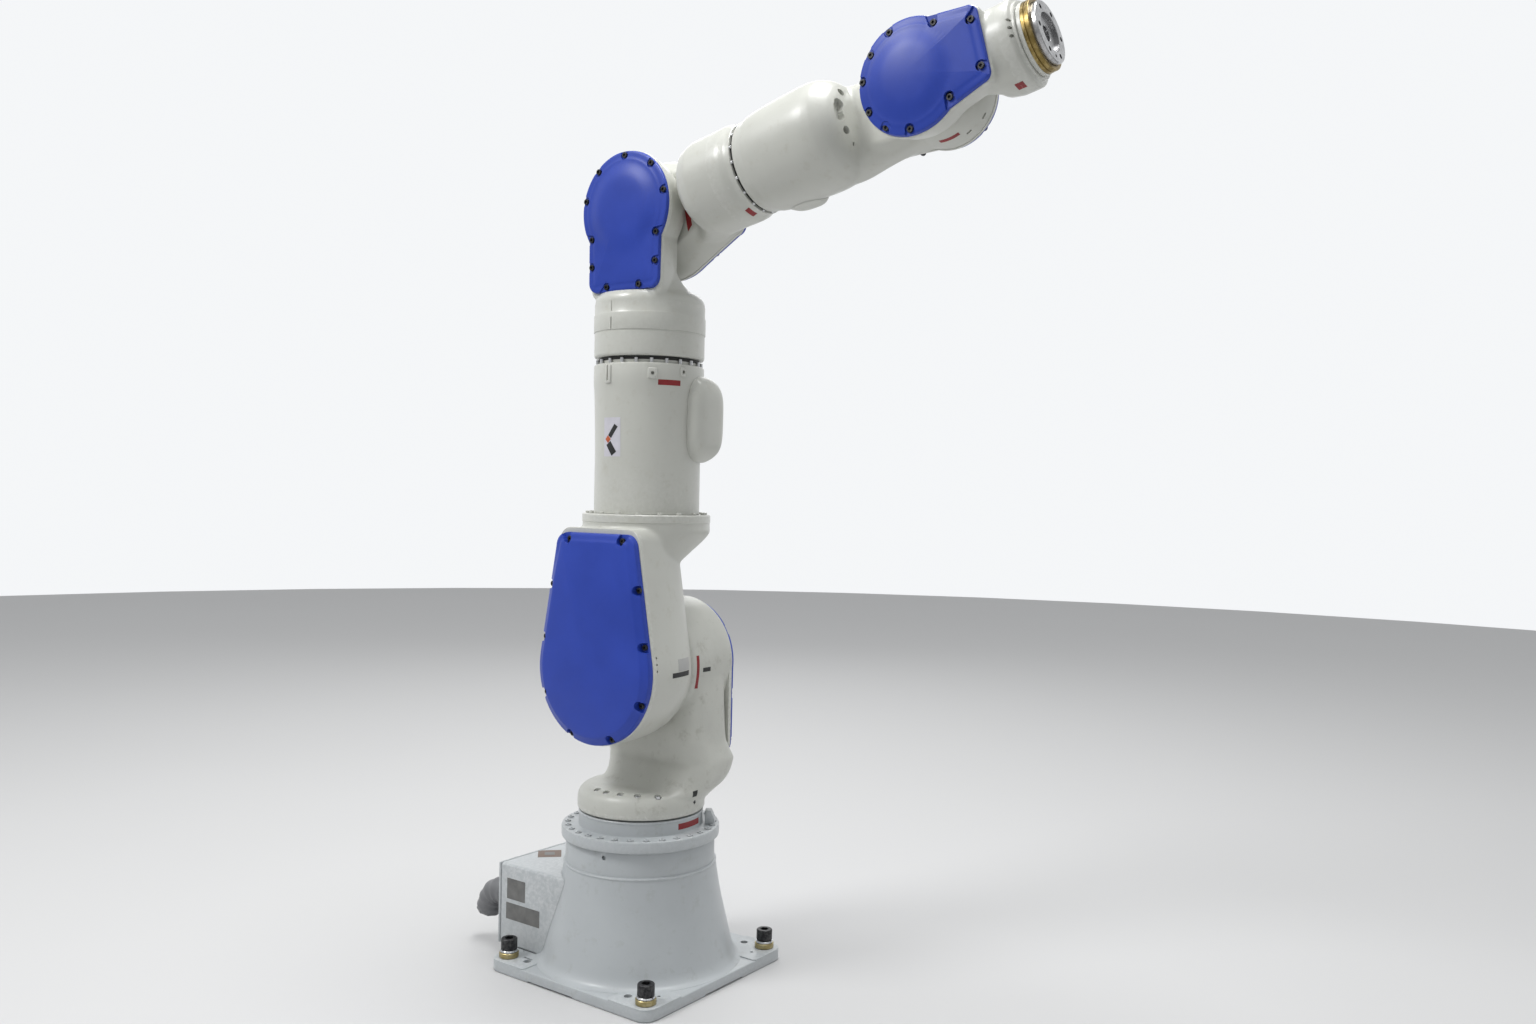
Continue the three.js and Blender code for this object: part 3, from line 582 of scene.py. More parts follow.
# ---- covers
def add_cover(name, shape, rim, depth, side, z, tail, body, notches, relief, matrix=UPRIGHT):
    """A motor cover with a notch and a black screw at each place (u, v) on its edge."""
    piece = as_object(name, crown(shape, rim, depth, side, z, tail, relief), matrix=matrix)
    hollow = [[rim - side, 17], [rim + side * depth * 0.3, 18], [rim + side * depth * 0.36, 22]]
    cut(piece, cheek(shape, hollow, z, tail, steps=1), matrix=matrix)
    screws = []
    for u, v in notches:
        out = math.hypot(u, v)
        edge_way = (u / out, v / out) if v < shape["length"] * 0.55 else (u / abs(u) * 0.55, 0.84)
        if 0 < v < shape["length"] * 0.8:
            edge_way = (u / abs(u), 0.0)
        pocket = []
        for k, reach in enumerate((0.0, 7.0, 14.0)):
            centre = (u + edge_way[0] * reach, z + tail * (v + edge_way[1] * reach))
            cutter = turned([(0, 4.6), (8.6 + k, 4.6), (9.8 + k, depth + 14), (0, depth + 14)], "y", 40)
            if side < 0:
                cutter = flipped(cutter)
            pocket.append(shifted(cutter, centre[0], rim, centre[1]))
        cut(piece, *pocket, matrix=matrix)
        screws.append(shifted(screw(5.4, 4.2, 2.3, "y", way=side), u, rim + side * 4.4, z + tail * v))
    done(piece, body, BLUE, [name], sharp=38)
    done(as_object(name + "_screws", *screws, matrix=matrix), body, BLACK_OXIDE)


def mirrored(places):
    return [(side * u, v) for u, v in places for side in ((1, -1) if u else (1,))]


def shoulder_relief(u, v):
    """A broad dome about the joint whose crown falls away towards the tail."""
    around_joint = np.clip(np.hypot(u, np.minimum(v, 0)) / 138, 0, 1)
    return -3.2 * around_joint ** 2 - 5.0 * fade(v, 150, 236)


def round_field(radius, rise, soft=30):
    """A round raised field about the joint axis, with the tail lower than it."""
    def relief(u, v):
        reach = np.hypot(u, v)
        dome = -1.6 * rise * np.clip(reach / radius, 0, 1) ** 2
        return dome + rise * fade(radius - reach, 0, soft) - 1.2 * fade(v, radius * 0.7, radius * 1.6)
    return relief


def add_covers():
    add_cover("shoulder_side_cover", L_NEAR, -130.3, 24, -1, L_Z, 1, "upper_arm",
              mirrored([(66, 238), (108, 152), (124, 52), (119, -52), (50, -121)]), shoulder_relief)
    add_cover("swivel_side_cover", L_FAR, 118.3, 18, 1, L_Z, -1, "swivel",
              mirrored([(112, 60), (112, 150), (96, -58), (40, -105), (40, 169)]), round_field(104, 1.0))
    add_cover("elbow_side_cover", U_NEAR, -72.3, 15, -1, U_Z, -1, "elbow",
              mirrored([(0, -97), (65, -74), (96, -22), (80, 52), (79, 104), (40, 144)]),
              round_field(84, 2.6))
    add_cover("forearm_base_cover", U_FAR, 74.3, 17, 1, 0, 1, "forearm_base",
              mirrored([(0, -106), (74, -76), (104, -20), (86, 78), (44, 149)]), round_field(92, 1.6),
              FOREARM_FRAME)
    add_cover("forearm_end_cover", B_FAR, 70.3, 15, 1, FOREARM, -1, "forearm",
              mirrored([(0, -74), (62, -42), (72, 12), (61, 74), (34, 109)]), round_field(64, 1.4),
              FOREARM_FRAME)
    add_cover("wrist_side_cover", B_NEAR, -70.3, 17, -1, 0, 1, "wrist",
              mirrored([(38, 118), (62, 58), (82, -18), (62, -58), (26, -82)]), round_field(72, 2.4),
              WRIST_FRAME)


# ---- base
def rounded_square(half, corner, steps=10):
    points = []
    for k, (sx, sy) in enumerate(((1, 1), (-1, 1), (-1, -1), (1, -1))):
        for i in range(steps + 1):
            angle = math.pi / 2 * (k + i / steps)
            points.append((sx * (half - corner) + corner * math.cos(angle),
                           sy * (half - corner) + corner * math.sin(angle)))
    return points


def corner_pad(sx, sy, inner_y):
    """A raised pad under one anchor bolt, from the plate's corner to a line each side of it."""
    turn = PLATE_HALF - PLATE_CORNER
    arc = [(turn + PLATE_CORNER * math.cos(a), turn + PLATE_CORNER * math.sin(a))
           for a in np.linspace(0, math.pi / 2, 9)]
    inner_x = 105
    points = [*arc, (inner_x + 4, PLATE_HALF), (inner_x, PLATE_HALF - 6), (inner_x, inner_y + 16),
              (inner_x + 5, inner_y + 5), (inner_x + 16, inner_y), (PLATE_HALF - 6, inner_y),
              (PLATE_HALF, inner_y + 4)]
    return prism([(sx * x, sy * y) for x, y in points], PLATE_THICK - 1, PLATE_THICK + PAD)


def add_base():
    plate = bevelled("base_casting", prism(rounded_square(PLATE_HALF, PLATE_CORNER), 0, PLATE_THICK),
                     width=2.2)
    foot = smooth_rows([(197, 20.4), (191.5, 22.6), (186, 27), (180.5, 37), (175.5, 56), (169, 82),
                        (155.5, 138),
                        (149.5, 170), (144.4, 201.5)], 4)
    cone = turned([(0, 12), (197, 12), *[tuple(p) for p in foot], (145.4, 203), (145.6, 205), (144.6, 206.6),
                   (141.6, 207.4), (141.6, 250.5), (140.6, 252), (0, 252)])
    pads = [bevelled("pad", corner_pad(sx, sy, 134 if sx < 0 else 105), width=0.9, segments=2)
            for sx in (-1, 1) for sy in (-1, 1)]
    join(plate, cone, *pads)
    cavity = turned([(0, -2), (150, -2), (164, 4), (160, 40), (137, 130), (126, 200), (126, 254), (0, 254)])
    reliefs = [block(-92, 22, -205, -165, -2, 3), block(165, 205, -42, 66, -2, 3),
               block(-22, 92, 165, 205, -2, 3), block(-205, -165, -66, 42, -2, 3)]
    holes = []
    for sx in (-1, 1):
        for sy in (-1, 1):
            holes.append(shifted(bar(11, -3, 40, sides=48), sx * BOLT_HALF_SPACING, sy * BOLT_HALF_SPACING))
            holes.append(shifted(bar(7.4, -3, 40, sides=40), sx * 127, sy * 168))
            holes.append(shifted(bar(3.2, 8, 40, sides=32), sx * 170, sy * 135))
    holes.append(shifted(block(-11, 11, -2.2, 2.2, 8, 30), -136, -158, 0))
    flank_screw = turned([(0, 135), (4.2, 135), (4.2, 160), (0, 160)], "y", 24)
    flank_screw = turned_by(flipped(flank_screw),
                            Matrix.Translation((0, 0, 240)) @ Matrix.Rotation(math.radians(14), 4, "Z"))
    cut(plate, cavity, *reliefs, *holes, flank_screw)
    done(plate, "base", BASE_PAINT, ["base_casting"])

    clear = turned([(0, -2), (197.4, -2), *[(p[0] + 0.4, p[1]) for p in foot], (0, 203)])
    box = bevelled("connector_box", block(-244, -60, -132, 132, 20.3, 178), width=5, segments=4)
    cut(box, block(-250, -50, -126, 126, 26.3, 172), clear)
    done(box, "base", BASE_PAINT, ["connector_box"])
    panel = bevelled("connector_panel", block(-250, -244.3, -132, 132, 20.3, 178), width=2.4, segments=3)
    cut(panel, *[shifted(bar(r, -260, -230, "x", 48), 0, y, 104)
                 for y, r in ((-88, 24), (-12, 15), (52, 6), (92, 6))])
    done(panel, "base", BASE_PAINT, ["connector_panel"])
    heads = [shifted(screw(4.6, 3.2, 2.0, "x", way=-1), -250, y, z)
             for y in (-122, -44, 22, 122) for z in (30, 168)]
    done(as_object("panel_screws", *heads), "base", BRIGHT_ZINC)
    add_connectors()
    add_anchor_bolts()

    clamp = turned([(97, 252.3), (147, 252.3), (149.4, 253.6), (150, 256), (150, 270.5), (149.2, 273),
                    (147, 274),
                    (120.5, 274), (118.4, 274.8), (117.6, 277), (117.6, 297), (118.6, 298), (118.6, 300.6),
                    (117.8, 301.5), (97, 301.5), (97, 252.3)])
    clamp = as_object("swivel_bearing_ring", clamp)
    sinks = around(bar(6.4, 270.5, 280, sides=28), *RING_SCREWS)
    cut(clamp, *sinks)
    done(clamp, "base", BASE_PAINT, ["swivel_bearing_ring"])
    heads = around(screw(5.0, 5.6, 2.3, base=270.6), *RING_SCREWS)
    done(as_object("bearing_ring_screws", *heads), "base", BASE_PAINT)
    stop = skin([np.array([(123.5, -12, z), (142 - k * 9, -12, z), (142 - k * 9, 12, z), (123.5, 12, z)],
                          float)
                 for k, z in ((0, 274.3), (0, 284), (0.8, 300))])
    done(bevelled("swivel_stop_block", spun(stop, 34), width=1.6), "base", BASE_PAINT)


def add_connectors():
    """The right-angle cable hood, the small round connector and the two air ports on the rear panel."""
    path = smooth_rows([(-251, -88, 104), (-268, -88, 104), (-290, -88, 102.5), (-308, -88, 94),
                        (-319, -88, 78),
                        (-324.5, -88, 61)], 6)
    rings = []
    steps = 56
    angles = np.arange(steps) / steps * 2 * math.pi
    for k, p in enumerate(path):
        a, b = path[max(k - 1, 0)], path[min(k + 1, len(path) - 1)]
        along = Vector(np.array(b) - np.array(a)).normalized()
        side = Vector((0, 1, 0))
        up = side.cross(along)
        share = k / (len(path) - 1)
        radius = 25.8 - 1.2 * share + (1.4 if k % 5 in (2, 3) else 0)
        rings.append(np.array([list(Vector(p) + side * (radius * math.cos(t)) + up * (radius * math.sin(t)))
                               for t in angles]))
    hood = as_object("power_connector_hood", skin(rings))
    collar = turned([(0, -0.4), (33, -0.4), (33, -5), (31.5, -7), (28.6, -8), (28.6, -13), (0, -13)], "x", 72)
    lugs = around(bar(4.6, -11, -0.5, "z", 20), 4, 36, 45)
    join(hood, shifted(collar, PANEL_X, -88, PORT_Z))
    join(hood, *[shifted((laid(points, "x"), faces), PANEL_X, -88, PORT_Z) for points, faces in lugs])
    end = path[-1]
    way = Vector(np.array(path[-1]) - np.array(path[-2])).normalized()
    turn = Matrix.Translation(end) @ way.to_track_quat("Z", "Y").to_matrix().to_4x4()
    nut = turned_by(turned([(0, -6), (24.6, -6), (24.6, 5.5), (22.6, 7.4), (18, 7.4), (18, 2), (0, 2)],
                           sides=8), turn)
    join(hood, nut)
    done(hood, "base", GREY_SHELL, ["power_connector_hood"], sharp=40)
    signal = turned([(0, -0.3), (24, -0.3), (24, -5), (22.8, -6.3), (19, -6.3), (19, -9), (20, -10),
                     (20, -22),
                     (18.6, -26), (16, -26), (15, -20), (0, -20)], "x", 72)
    done(as_object("signal_connector", shifted(signal, PANEL_X, -12, PORT_Z)), "base", GREY_SHELL,
         ["signal_connector"])
    for name, y in (("air_port_1", 52), ("air_port_2", 92)):
        port = as_object(name,
                         shifted(turned([(0, -8.5), (8, -8.5), (8, -17), (6.6, -17.4), (8, -20.3),
                                         (4.4, -20.3),
                                               (4.4, -10), (0, -10)], "x", 48), PANEL_X, y, PORT_Z))
        join(port, shifted(turned([(0, -0.3), (13, -0.3), (13, -8), (11.8, -9), (0, -9)], "x", 6),
                           PANEL_X, y, PORT_Z))
        done(port, "base", YELLOW_ZINC, [name])


def add_anchor_bolts():
    pad_top = PLATE_THICK + PAD + 0.3
    for i, (sx, sy) in enumerate(((-1, -1), (1, -1), (1, 1), (-1, 1))):
        x, y = sx * BOLT_HALF_SPACING, sy * BOLT_HALF_SPACING
        spacer = shifted(ring(18.5, 11, pad_top, pad_top + 10, sides=96, chamfer=1.1), x, y)
        done(as_object(f"anchor_spacer_{i + 1}", spacer), "base", YELLOW_ZINC,
             [f"anchor_spacer_{i + 1}"])
        washer_base = pad_top + 10.3
        washer = as_object(f"spring_washer_{i + 1}",
                           shifted(ring(16.5, 11, washer_base, washer_base + 3.7, sides=96, chamfer=0.5), x,
                                   y))
        slit = turned_by(block(10, 19, -0.7, 0.7, -1, 6), Matrix.Rotation(math.radians(18), 4, "X"))
        cut(washer, turned_by(shifted(slit, 0, 0, washer_base), Matrix.Translation((x, y, 0))))
        done(washer, "base", BRIGHT_ZINC, [f"spring_washer_{i + 1}"])
        head_base = washer_base + 4.0
        head = screw(15, 21, 7.4, base=head_base, knurl=0.016)
        shank = bar(9.7, 1, head_base + 0.4, sides=48)
        bolt = as_object(f"anchor_bolt_{i + 1}", shifted(head, x, y))
        join(bolt, shifted(shank, x, y))
        done(bolt, "base", BLACK_OXIDE, [f"anchor_bolt_{i + 1}"], sharp=30)


# ---- swivel and shoulder
def add_swivel():
    collar = turned([(0, SWIVEL_SEAM + SEAM), (116.5, SWIVEL_SEAM + SEAM), (119.6, 307), (121, 313),
                     (121.2, 322),
                     (120.2, 332), (116.5, 340), (110, 346), (98, 350), (0, 352)])
    neck = loft([(322, -110, 114, -100, 122, 2.1), (340, -108, 126, -84, 136, 2.2),
                 (352, -106, 132, -48, 143, 2.4),
                 (368, -108, 136, -22, 145, 2.8), (388, -113, 137, -4, 145, 3.4),
                 (398, -117, 136, 3.5, 143, 3.8),
                 (420, -122, 130, 3.5, 128, 4.4), (450, -124, 126, 3.5, 118, 5),
                 (L_Z, -119, 119, 3.5, 118, 5)])
    boss = turned([(0, SEAM), (114, SEAM), (118.5, 4), (120.6, 10), (122, 30), (122, 112), (121, 118),
                   (0, 118)], "y")
    piece = cast("swivel_casting", collar, neck, shifted(boss, 0, 0, L_Z), rounds=10)
    seat = cheek({**L_FAR, "r": 122.2, "w0": 121.7, "w1": 121.2, "length": 178.4}, [[111, 0.6], [118, 0]],
                 L_Z, -1, steps=1)
    lip = turned([(80, 304.5), (117, 304.5), (119.4, 305.6), (120.8, 309), (120.8, 314), (80, 314),
                  (80, 304.5)])
    face = shifted(turned([(85, SEAM), (115.6, SEAM), (117, 2.6), (117, 8), (85, 8), (85, SEAM)], "y"), 0, 0,
                   L_Z)
    join(piece, seat, lip, face)
    ledge_holes = [shifted(bar(6.5, 341.5, 372, sides=28), x, y)
                   for x, y in LEDGE_SCREWS]
    cut(piece, shifted(bar(92, -6, 119, "y"), 0, 0, L_Z), bar(88.3, 298, 330.3),
        block(-40, 40, 30, 90, 325, L_Z), block(-150, 150, 118, 160, L_Z - 179.5, L_Z + 4), *ledge_holes)
    done(piece, "swivel", CAST_PAINT, ["swivel_casting"])
    heads = [shifted(screw(5.2, 4.6, 2.2, base=342), x, y) for x, y in LEDGE_SCREWS]
    done(as_object("swivel_ledge_screws", *heads), "swivel", BRIGHT_ZINC)


def add_shoulder():
    side = cheek({**L_NEAR, "length": 258},
                 [[-SEAM, 18], [-9, 14], [-28, 6], [-60, 0], [-100, -1.2], [-130, 0.2]],
                 L_Z)
    throat = loft([(L_Z + 120, -92, 92, -100, -14, 4), (L_Z + 168, -90, 92, -108, -6, 3.6),
                   (L_Z + 190, -92, 94, -112, 12, 3.2), (L_Z + 214, -98, 102, -114, 54, 2.7),
                   (L_Z + 236, -108, 112, -116, 96, 2.3), (L_Z + 251, -118, 120, -116, 116, 2.1),
                   (L_Z + 262, -121, 121, -121, 121, 2)])
    top = turned([(0, 834), (120.6, 834), (120.6, 860), (0, 860)])
    piece = cast("shoulder_casting", side, throat, top, rounds=10)
    rim = cheek({**L_NEAR, "length": 258}, [[-121, -1.4], [-128.8, -1.2], [-130, -0.2]], L_Z, steps=1)
    flange = turned([(70, 836), (120.8, 836), (120.8, 847.4), (121.6, 848.2), (121.6, 861),
                     (119.6, SHOULDER_TOP),
                     (70, SHOULDER_TOP), (70, 836)])
    join(piece, rim, flange)
    pocket = cheek({**L_NEAR, "length": 236}, [[-132, 13], [-60, 17], [-40, 22]], L_Z, steps=1)
    flats = [shifted(bar(2.4, 118, 150, "x", 20), 0, -119, z) for z in (587, 599, 611)]
    slot = turned_by(shifted(block(-26, 0, -3.6, 3.6, -13, 13), 131), Matrix.Translation((0, -44, L_Z))
                     @ Matrix.Rotation(math.radians(46), 4, "Y"))
    cut(piece, pocket, shifted(bar(84.3, -24.3, 3, "y"), 0, 0, L_Z),
        bar(80, 826, SHOULDER_TOP + 2), *flats, slot)
    done(piece, "upper_arm", ARM_PAINT, ["shoulder_casting"])


def add_upper_arm():
    tube = as_object("upper_arm_tube", turned([
        (86, 863.3), (99.4, 863.3), (100, 864), (100, 985), (101, 1030), (102.5, 1080), (104.1, 1104),
                                               (104.5, 1110),
        (104.5, 1138), (103.8, 1140.6), (102, 1142), (95.2, 1142), (95.2, 1148), (86, 1148), (86, 863.3)]))
    bosses, slots = [], []
    for angle, width, low, high in ((-94, 15, 1104, 1138), (-45, 18, 1112, 1132), (-12, 12, 1118, 1136),
                                    (176, 18, 1108, 1136), (95, 15, 1104, 1138)):
        boss = block(98, 107.5, -width / 2, width / 2, low, high)
        bosses.append(bevelled("boss", spun(boss, angle), width=2.4))
        if width == SLOTTED_BOSS:
            slot = block(105, 110, -1.5, 1.5, low + 5, high + 2)
        else:
            slot = shifted(bar(3.2, 100, 112, "x", 24), 0, 0, (low + high) / 2)
        slots.append(spun(slot, angle))
    join(tube, *bosses)
    cut(tube, *slots)
    done(tube, "upper_arm", ARM_PAINT, ["upper_arm_tube"])
    heads = around(screw(4.6, 4.2, 2.2, base=SHOULDER_TOP), 18, 111, 4)
    done(as_object("shoulder_flange_screws", *heads), "upper_arm", ARM_PAINT)
    blister = loft([(962, 56, 99, 12, 60, 2.4), (970, 50, 112, 4, 71, 2.8), (984, 46, 123, -2, 79, 3.4),
                    (1006, 44, 127, -6, 83, 4), (1045, 44, 128, -7, 84, 4), (1082, 44, 127.5, -6, 83, 4),
                    (1104, 46, 123, -2, 78, 3.4), (1117, 50, 112, 4, 71, 2.8), (1124, 56, 100, 12, 60, 2.4)])
    piece = cast("upper_arm_cable_cover", blister, rounds=4)
    cut(piece, turned([(0, 940), (100.3, 940), (100.3, 985), (101.4, 1030), (102.9, 1080),
                       (104.9, 1108), (104.9, 1140), (0, 1140)]))
    done(piece, "upper_arm", ARM_PAINT, ["upper_arm_cable_cover"])
    # A black ring across the back of the gap between the tube and the elbow drum, behind the screws: painted
    # shade for the dark gap.
    seal = turned([(92, 1148.3), (94.9, 1148.3), (94.9, 1154.6), (92, 1154.6), (92, 1148.3)])
    done(as_object("upper_arm_gap_shade_ring", seal), "upper_arm", GAP_SHADE_BLACK)
    heads = around(screw(3.2, 8.6, 1.5, base=1142.0), 22, 98.6, 3)
    done(as_object("upper_arm_roll_screws", *heads), "upper_arm", BRIGHT_ZINC)


def add_elbow():
    drum = [(0, 1155), (100.4, 1155), (102.6, 1156), (104.2, 1158.6), (104.5, 1161), (104.5, 1199),
            (103.4, 1200.2),
            (103.4, 1201.6), (105.4, 1202.8), (105.8, 1204), (105.8, 1233), (105.2, 1235), (104.6, 1236),
            (104.6, 1256)]
    shoulder = [(103.4, 1263), (100.5, 1269.5), (95, 1275.5), (87, 1280), (76, 1283), (0, 1283)]
    throat = loft([(1258, -97, 97, -97, 97, 2), (1280, -88, 88, -86, 62, 2.3), (1298, -80, 80, -74, 26, 2.7),
                   (1318, -76, 76, -71, 6, 3.2), (1340, -75, 75, -70, -6, 3.6), (1384, -75, 75, -66, -10, 4)])
    side = cheek({**U_NEAR, "length": 165},
                 [[-SEAM, 21], [-8, 18], [-30, 8], [-52, 2], [-66, -0.6], [-72, 0.2]],
                 U_Z, -1)
    low = turned([(0, 1158), (104, 1158), (104, 1258), *shoulder])
    piece = cast("elbow_casting", low, throat, side, rounds=8)
    rim = cheek({**U_NEAR, "length": 156}, [[-65, -1.6], [-71, -1.4], [-72, -0.4]], U_Z, -1, steps=1)
    join(piece, turned([*drum, (0, 1256)]), rim)
    pocket = cheek({**U_NEAR, "length": 144}, [[-74, 13], [-50, 17], [-36, 24]], U_Z, -1, steps=1)
    slits = [spun(block(103.6, 108, -1.3, 1.3, z, z + 22), -91)  for z in (1203.5, 1236.5)]
    cut(piece, pocket, shifted(bar(62.3, -22.3, 3, "y"), 0, 0, U_Z), bar(82.3, 1150, 1176.3),
        bar(40, 1170, 1262, sides=48), block(-120, 120, -150, -72, U_Z - 155, 1320), *slits)
    done(piece, "elbow", ARM_PAINT, ["elbow_casting"])


# ---- forearm and wrist
def add_forearm_base():
    m = FOREARM_FRAME
    side = cheek({**U_FAR, "length": 160}, [[SEAM, 29], [8, 24], [26, 10], [44, 3], [66, -0.6], [74, 0.2]])
    tube = turned([(0, 112), (44, 113), (67, 120), (82, 134), (88, 154), (88, 226), (86.5, 238), (83.5, 244),
                   (83.5, 254), (0, 254)])
    throat = loft([(60, -76, 76, 8, 68, 4), (96, -80, 80, 4, 72, 3.6), (116, -82, 82, -20, 76, 3),
                   (136, -84, 84, -58, 82, 2.4), (160, -86.5, 86.5, -84, 86.5, 2.1),
                   (190, -87, 87, -87, 87, 2)])
    piece = cast("forearm_base_casting", side, tube, throat, matrix=m, rounds=8)
    rim = cheek(U_FAR, [[67, -1.6], [73, -1.4], [74, -0.4]], steps=1)
    crisp = turned([(70, 206), (88.3, 206), (88.3, 225), (87.3, 234.6), (85, 240), (83.5, 244.4),
                    (83.5, 254.5),
                    (82.6, 255.4), (70, 255.4), (70, 206)])
    join(piece, rim, crisp, matrix=m)
    cut(piece, bar(70, -4, 75, "y"), bar(76, 128, 264), block(-110, 110, 74, 150, 60, 160.5),
        matrix=m)
    done(piece, "forearm_base", ARM_PAINT, ["forearm_base_casting"])
    # A black ring across the back of the gap between this casting and the forearm tube: painted shade for the
    # dark gap.
    seal = turned([(76.2, 255.6), (78, 255.6), (78, 259.9), (76.2, 259.9), (76.2, 255.6)])
    done(as_object("forearm_gap_shade_ring", seal, matrix=m), "forearm_base", GAP_SHADE_BLACK)
    heads = around(screw(2.9, 4.4, 1.3, base=255.2), 18, 80, -64)
    done(as_object("forearm_roll_screws", *heads, matrix=m), "forearm_base", BRIGHT_ZINC)


def add_forearm():
    m = FOREARM_FRAME
    tube = turned([(0, 262), (81, 262), (83.2, 264), (83.5, 270), (85, 277), (88, 284), (91, 310), (93, 350),
                   (94.3, 385), (94.5, 400), (93.6, 415), (90, 430), (82, 445), (72, 455), (60, 462),
                   (40, 468),
                   (0, 471)])
    lobe = cheek({**B_FAR, "length": 150}, [[SEAM, 14], [7, 10], [24, 3], [44, 0], [62, -0.6], [70, 0.2]],
                 FOREARM, -1)
    throat = loft([(330, -88, 85, -40, 87, 2), (400, -89, 83, -30, 88, 2.1), (440, -82, 82, -16, 84, 2.4),
                   (480, -76, 76, -2, 74, 3), (510, -72, 72, 5, 70, 3.4), (560, -68, 68, 6, 68, 4)])
    piece = cast("forearm_tube", tube, throat, lobe, matrix=m, rounds=9)
    rim = cheek(B_FAR, [[63, -1.6], [69, -1.4], [70, -0.4]], FOREARM, -1, steps=1)
    crisp = turned([(73, 260.5), (80.8, 260.5), (81.8, 261.3), (82.6, 263), (83.5, 268), (83.5, 273),
                    (73, 273),
                    (73, 260.5)])
    join(piece, rim, crisp, matrix=m)
    end_holes = [shifted(bar(r, low, 500, sides=32), x, y) for x, y, r,
                 low in ((-50, -27, 7, 446), (21, -38, 7.2, 448))]
    kidney = [shifted(bar(9.6, 456, 500, sides=36), x, y) for x,
              y in ((-25, -44), (-18, -48), (-10, -50), (-3, -49))]
    lobe_slots = [turned_by(shifted(block(-12, 0, -2.2, 2.2, -5, 5), 86), Matrix.Translation((0, y, FOREARM))
                            @ Matrix.Rotation(math.radians(a), 4, "Y")) for y, a in ((40, -22), (46, -46))]
    cut(piece, shifted(bar(56, -4, 71, "y"), 0, 0, FOREARM), bar(72.3, 258, 284.3),
        bar(34, 280, 440, sides=48), block(-110, 110, 70, 150, FOREARM - 120, FOREARM + 2),
        *end_holes, *kidney, *lobe_slots, shifted(block(-3, 3, -2, 2, 460, 480), 41, -21, 0), matrix=m)
    done(piece, "forearm", ARM_PAINT, ["forearm_tube"])
    blister = loft([(296, 60, 87, 6, 44, 2.4), (308, 54, 92, -4, 52, 2.8), (322, 52, 94, -8, 55, 3),
                    (346, 52, 95, -8, 55, 3), (358, 54, 93, -4, 51, 2.8), (368, 60, 87, 8, 44, 2.4)])
    cover = as_object("forearm_cable_cover", blister, matrix=m)
    cut(cover, turned([(0, 280), (88.4, 286), (91.4, 310), (93.4, 350), (94.6, 385), (0, 390)]),
        matrix=m)
    done(cover, "forearm", ARM_PAINT, ["forearm_cable_cover"])


def add_wrist():
    m = WRIST_FRAME
    side = cheek({**B_NEAR, "length": 132},
                 [[-SEAM, 19], [-8, 15], [-26, 7], [-46, 2.5], [-64, -0.6], [-70, 0.2]])
    tube = turned([(0, 96), (30, 97), (54, 104), (66, 118), (71, 138), (71, 166), (68, 171), (0, 171)])
    throat = loft([(60, -58, 58, -64, -6, 4), (92, -60, 60, -68, -3, 3.6), (108, -62, 62, -69, 20, 3),
                   (124, -66, 66, -69.8, 52, 2.4), (142, -70, 70, -70, 68, 2.1)])
    piece = cast("wrist_casting", side, tube, throat, matrix=m, rounds=7)
    rim = cheek(B_NEAR, [[-63, -1.6], [-69, -1.4], [-70, -0.4]], steps=1)
    crisp = turned([(47, 150), (71.3, 150), (71.3, 166), (70.4, 168.4), (67, 171), (64.2, 172), (63, 173.4),
                    (63, 176.4), (62.2, 177), (47, 177), (47, 150)])
    join(piece, rim, crisp, matrix=m)
    pocket = cheek({**B_NEAR, "length": 122}, [[-72, 13], [-46, 18], [-32, 24]], steps=1)
    holes = [spun(shifted(bar(2.6, 60, 80, "x", 20), 0, 0, 170), angle)
             for angle in (-102, -91, -80, 88, 99)]
    cut(piece, pocket, bar(50.3, -20.3, 3, "y"), bar(46, 110, TOOL_SEAM + 2), *holes, matrix=m)
    done(piece, "wrist", ARM_PAINT, ["wrist_casting"])
    seal = turned([(47, 177.3), (57, 177.3), (57, 189.6), (55.9, 190.2), (55.9, 191.4), (57, 192), (57, 197),
                   (56, 198), (50.8, 198), (50.8, 190.2), (47, 190.2), (47, 177.3)])
    seal = as_object("tool_seal_ring", seal, matrix=m)
    collar = ring(58, 57.05, 177.4, 184.5, chamfer=0.4)
    done(as_object("tool_seal_collar", collar, matrix=m), "wrist", ARM_PAINT)
    done(seal, "wrist", GOLD, ["tool_seal_ring"])

    flange = as_object("tool_flange", turned([
        (0, 172), (44, 172), (44, 191), (49.2, 191), (50, 191.8), (50, 205.6), (48.8, TOOL_FACE),
                                              (32, TOOL_FACE),
        (31, 206.2), (31, 201), (14, 201), (12.5, 199.6), (12.5, 195), (0, 195)]), matrix=m)
    taps = around(bar(4, 192, 210, sides=28), 6, 40, 30)
    cut(flange, *taps, *around(bar(2.6, 196, 210, sides=24), 1, 40, 0), matrix=m)
    done(flange, "tool", MACHINED, ["tool_flange"])


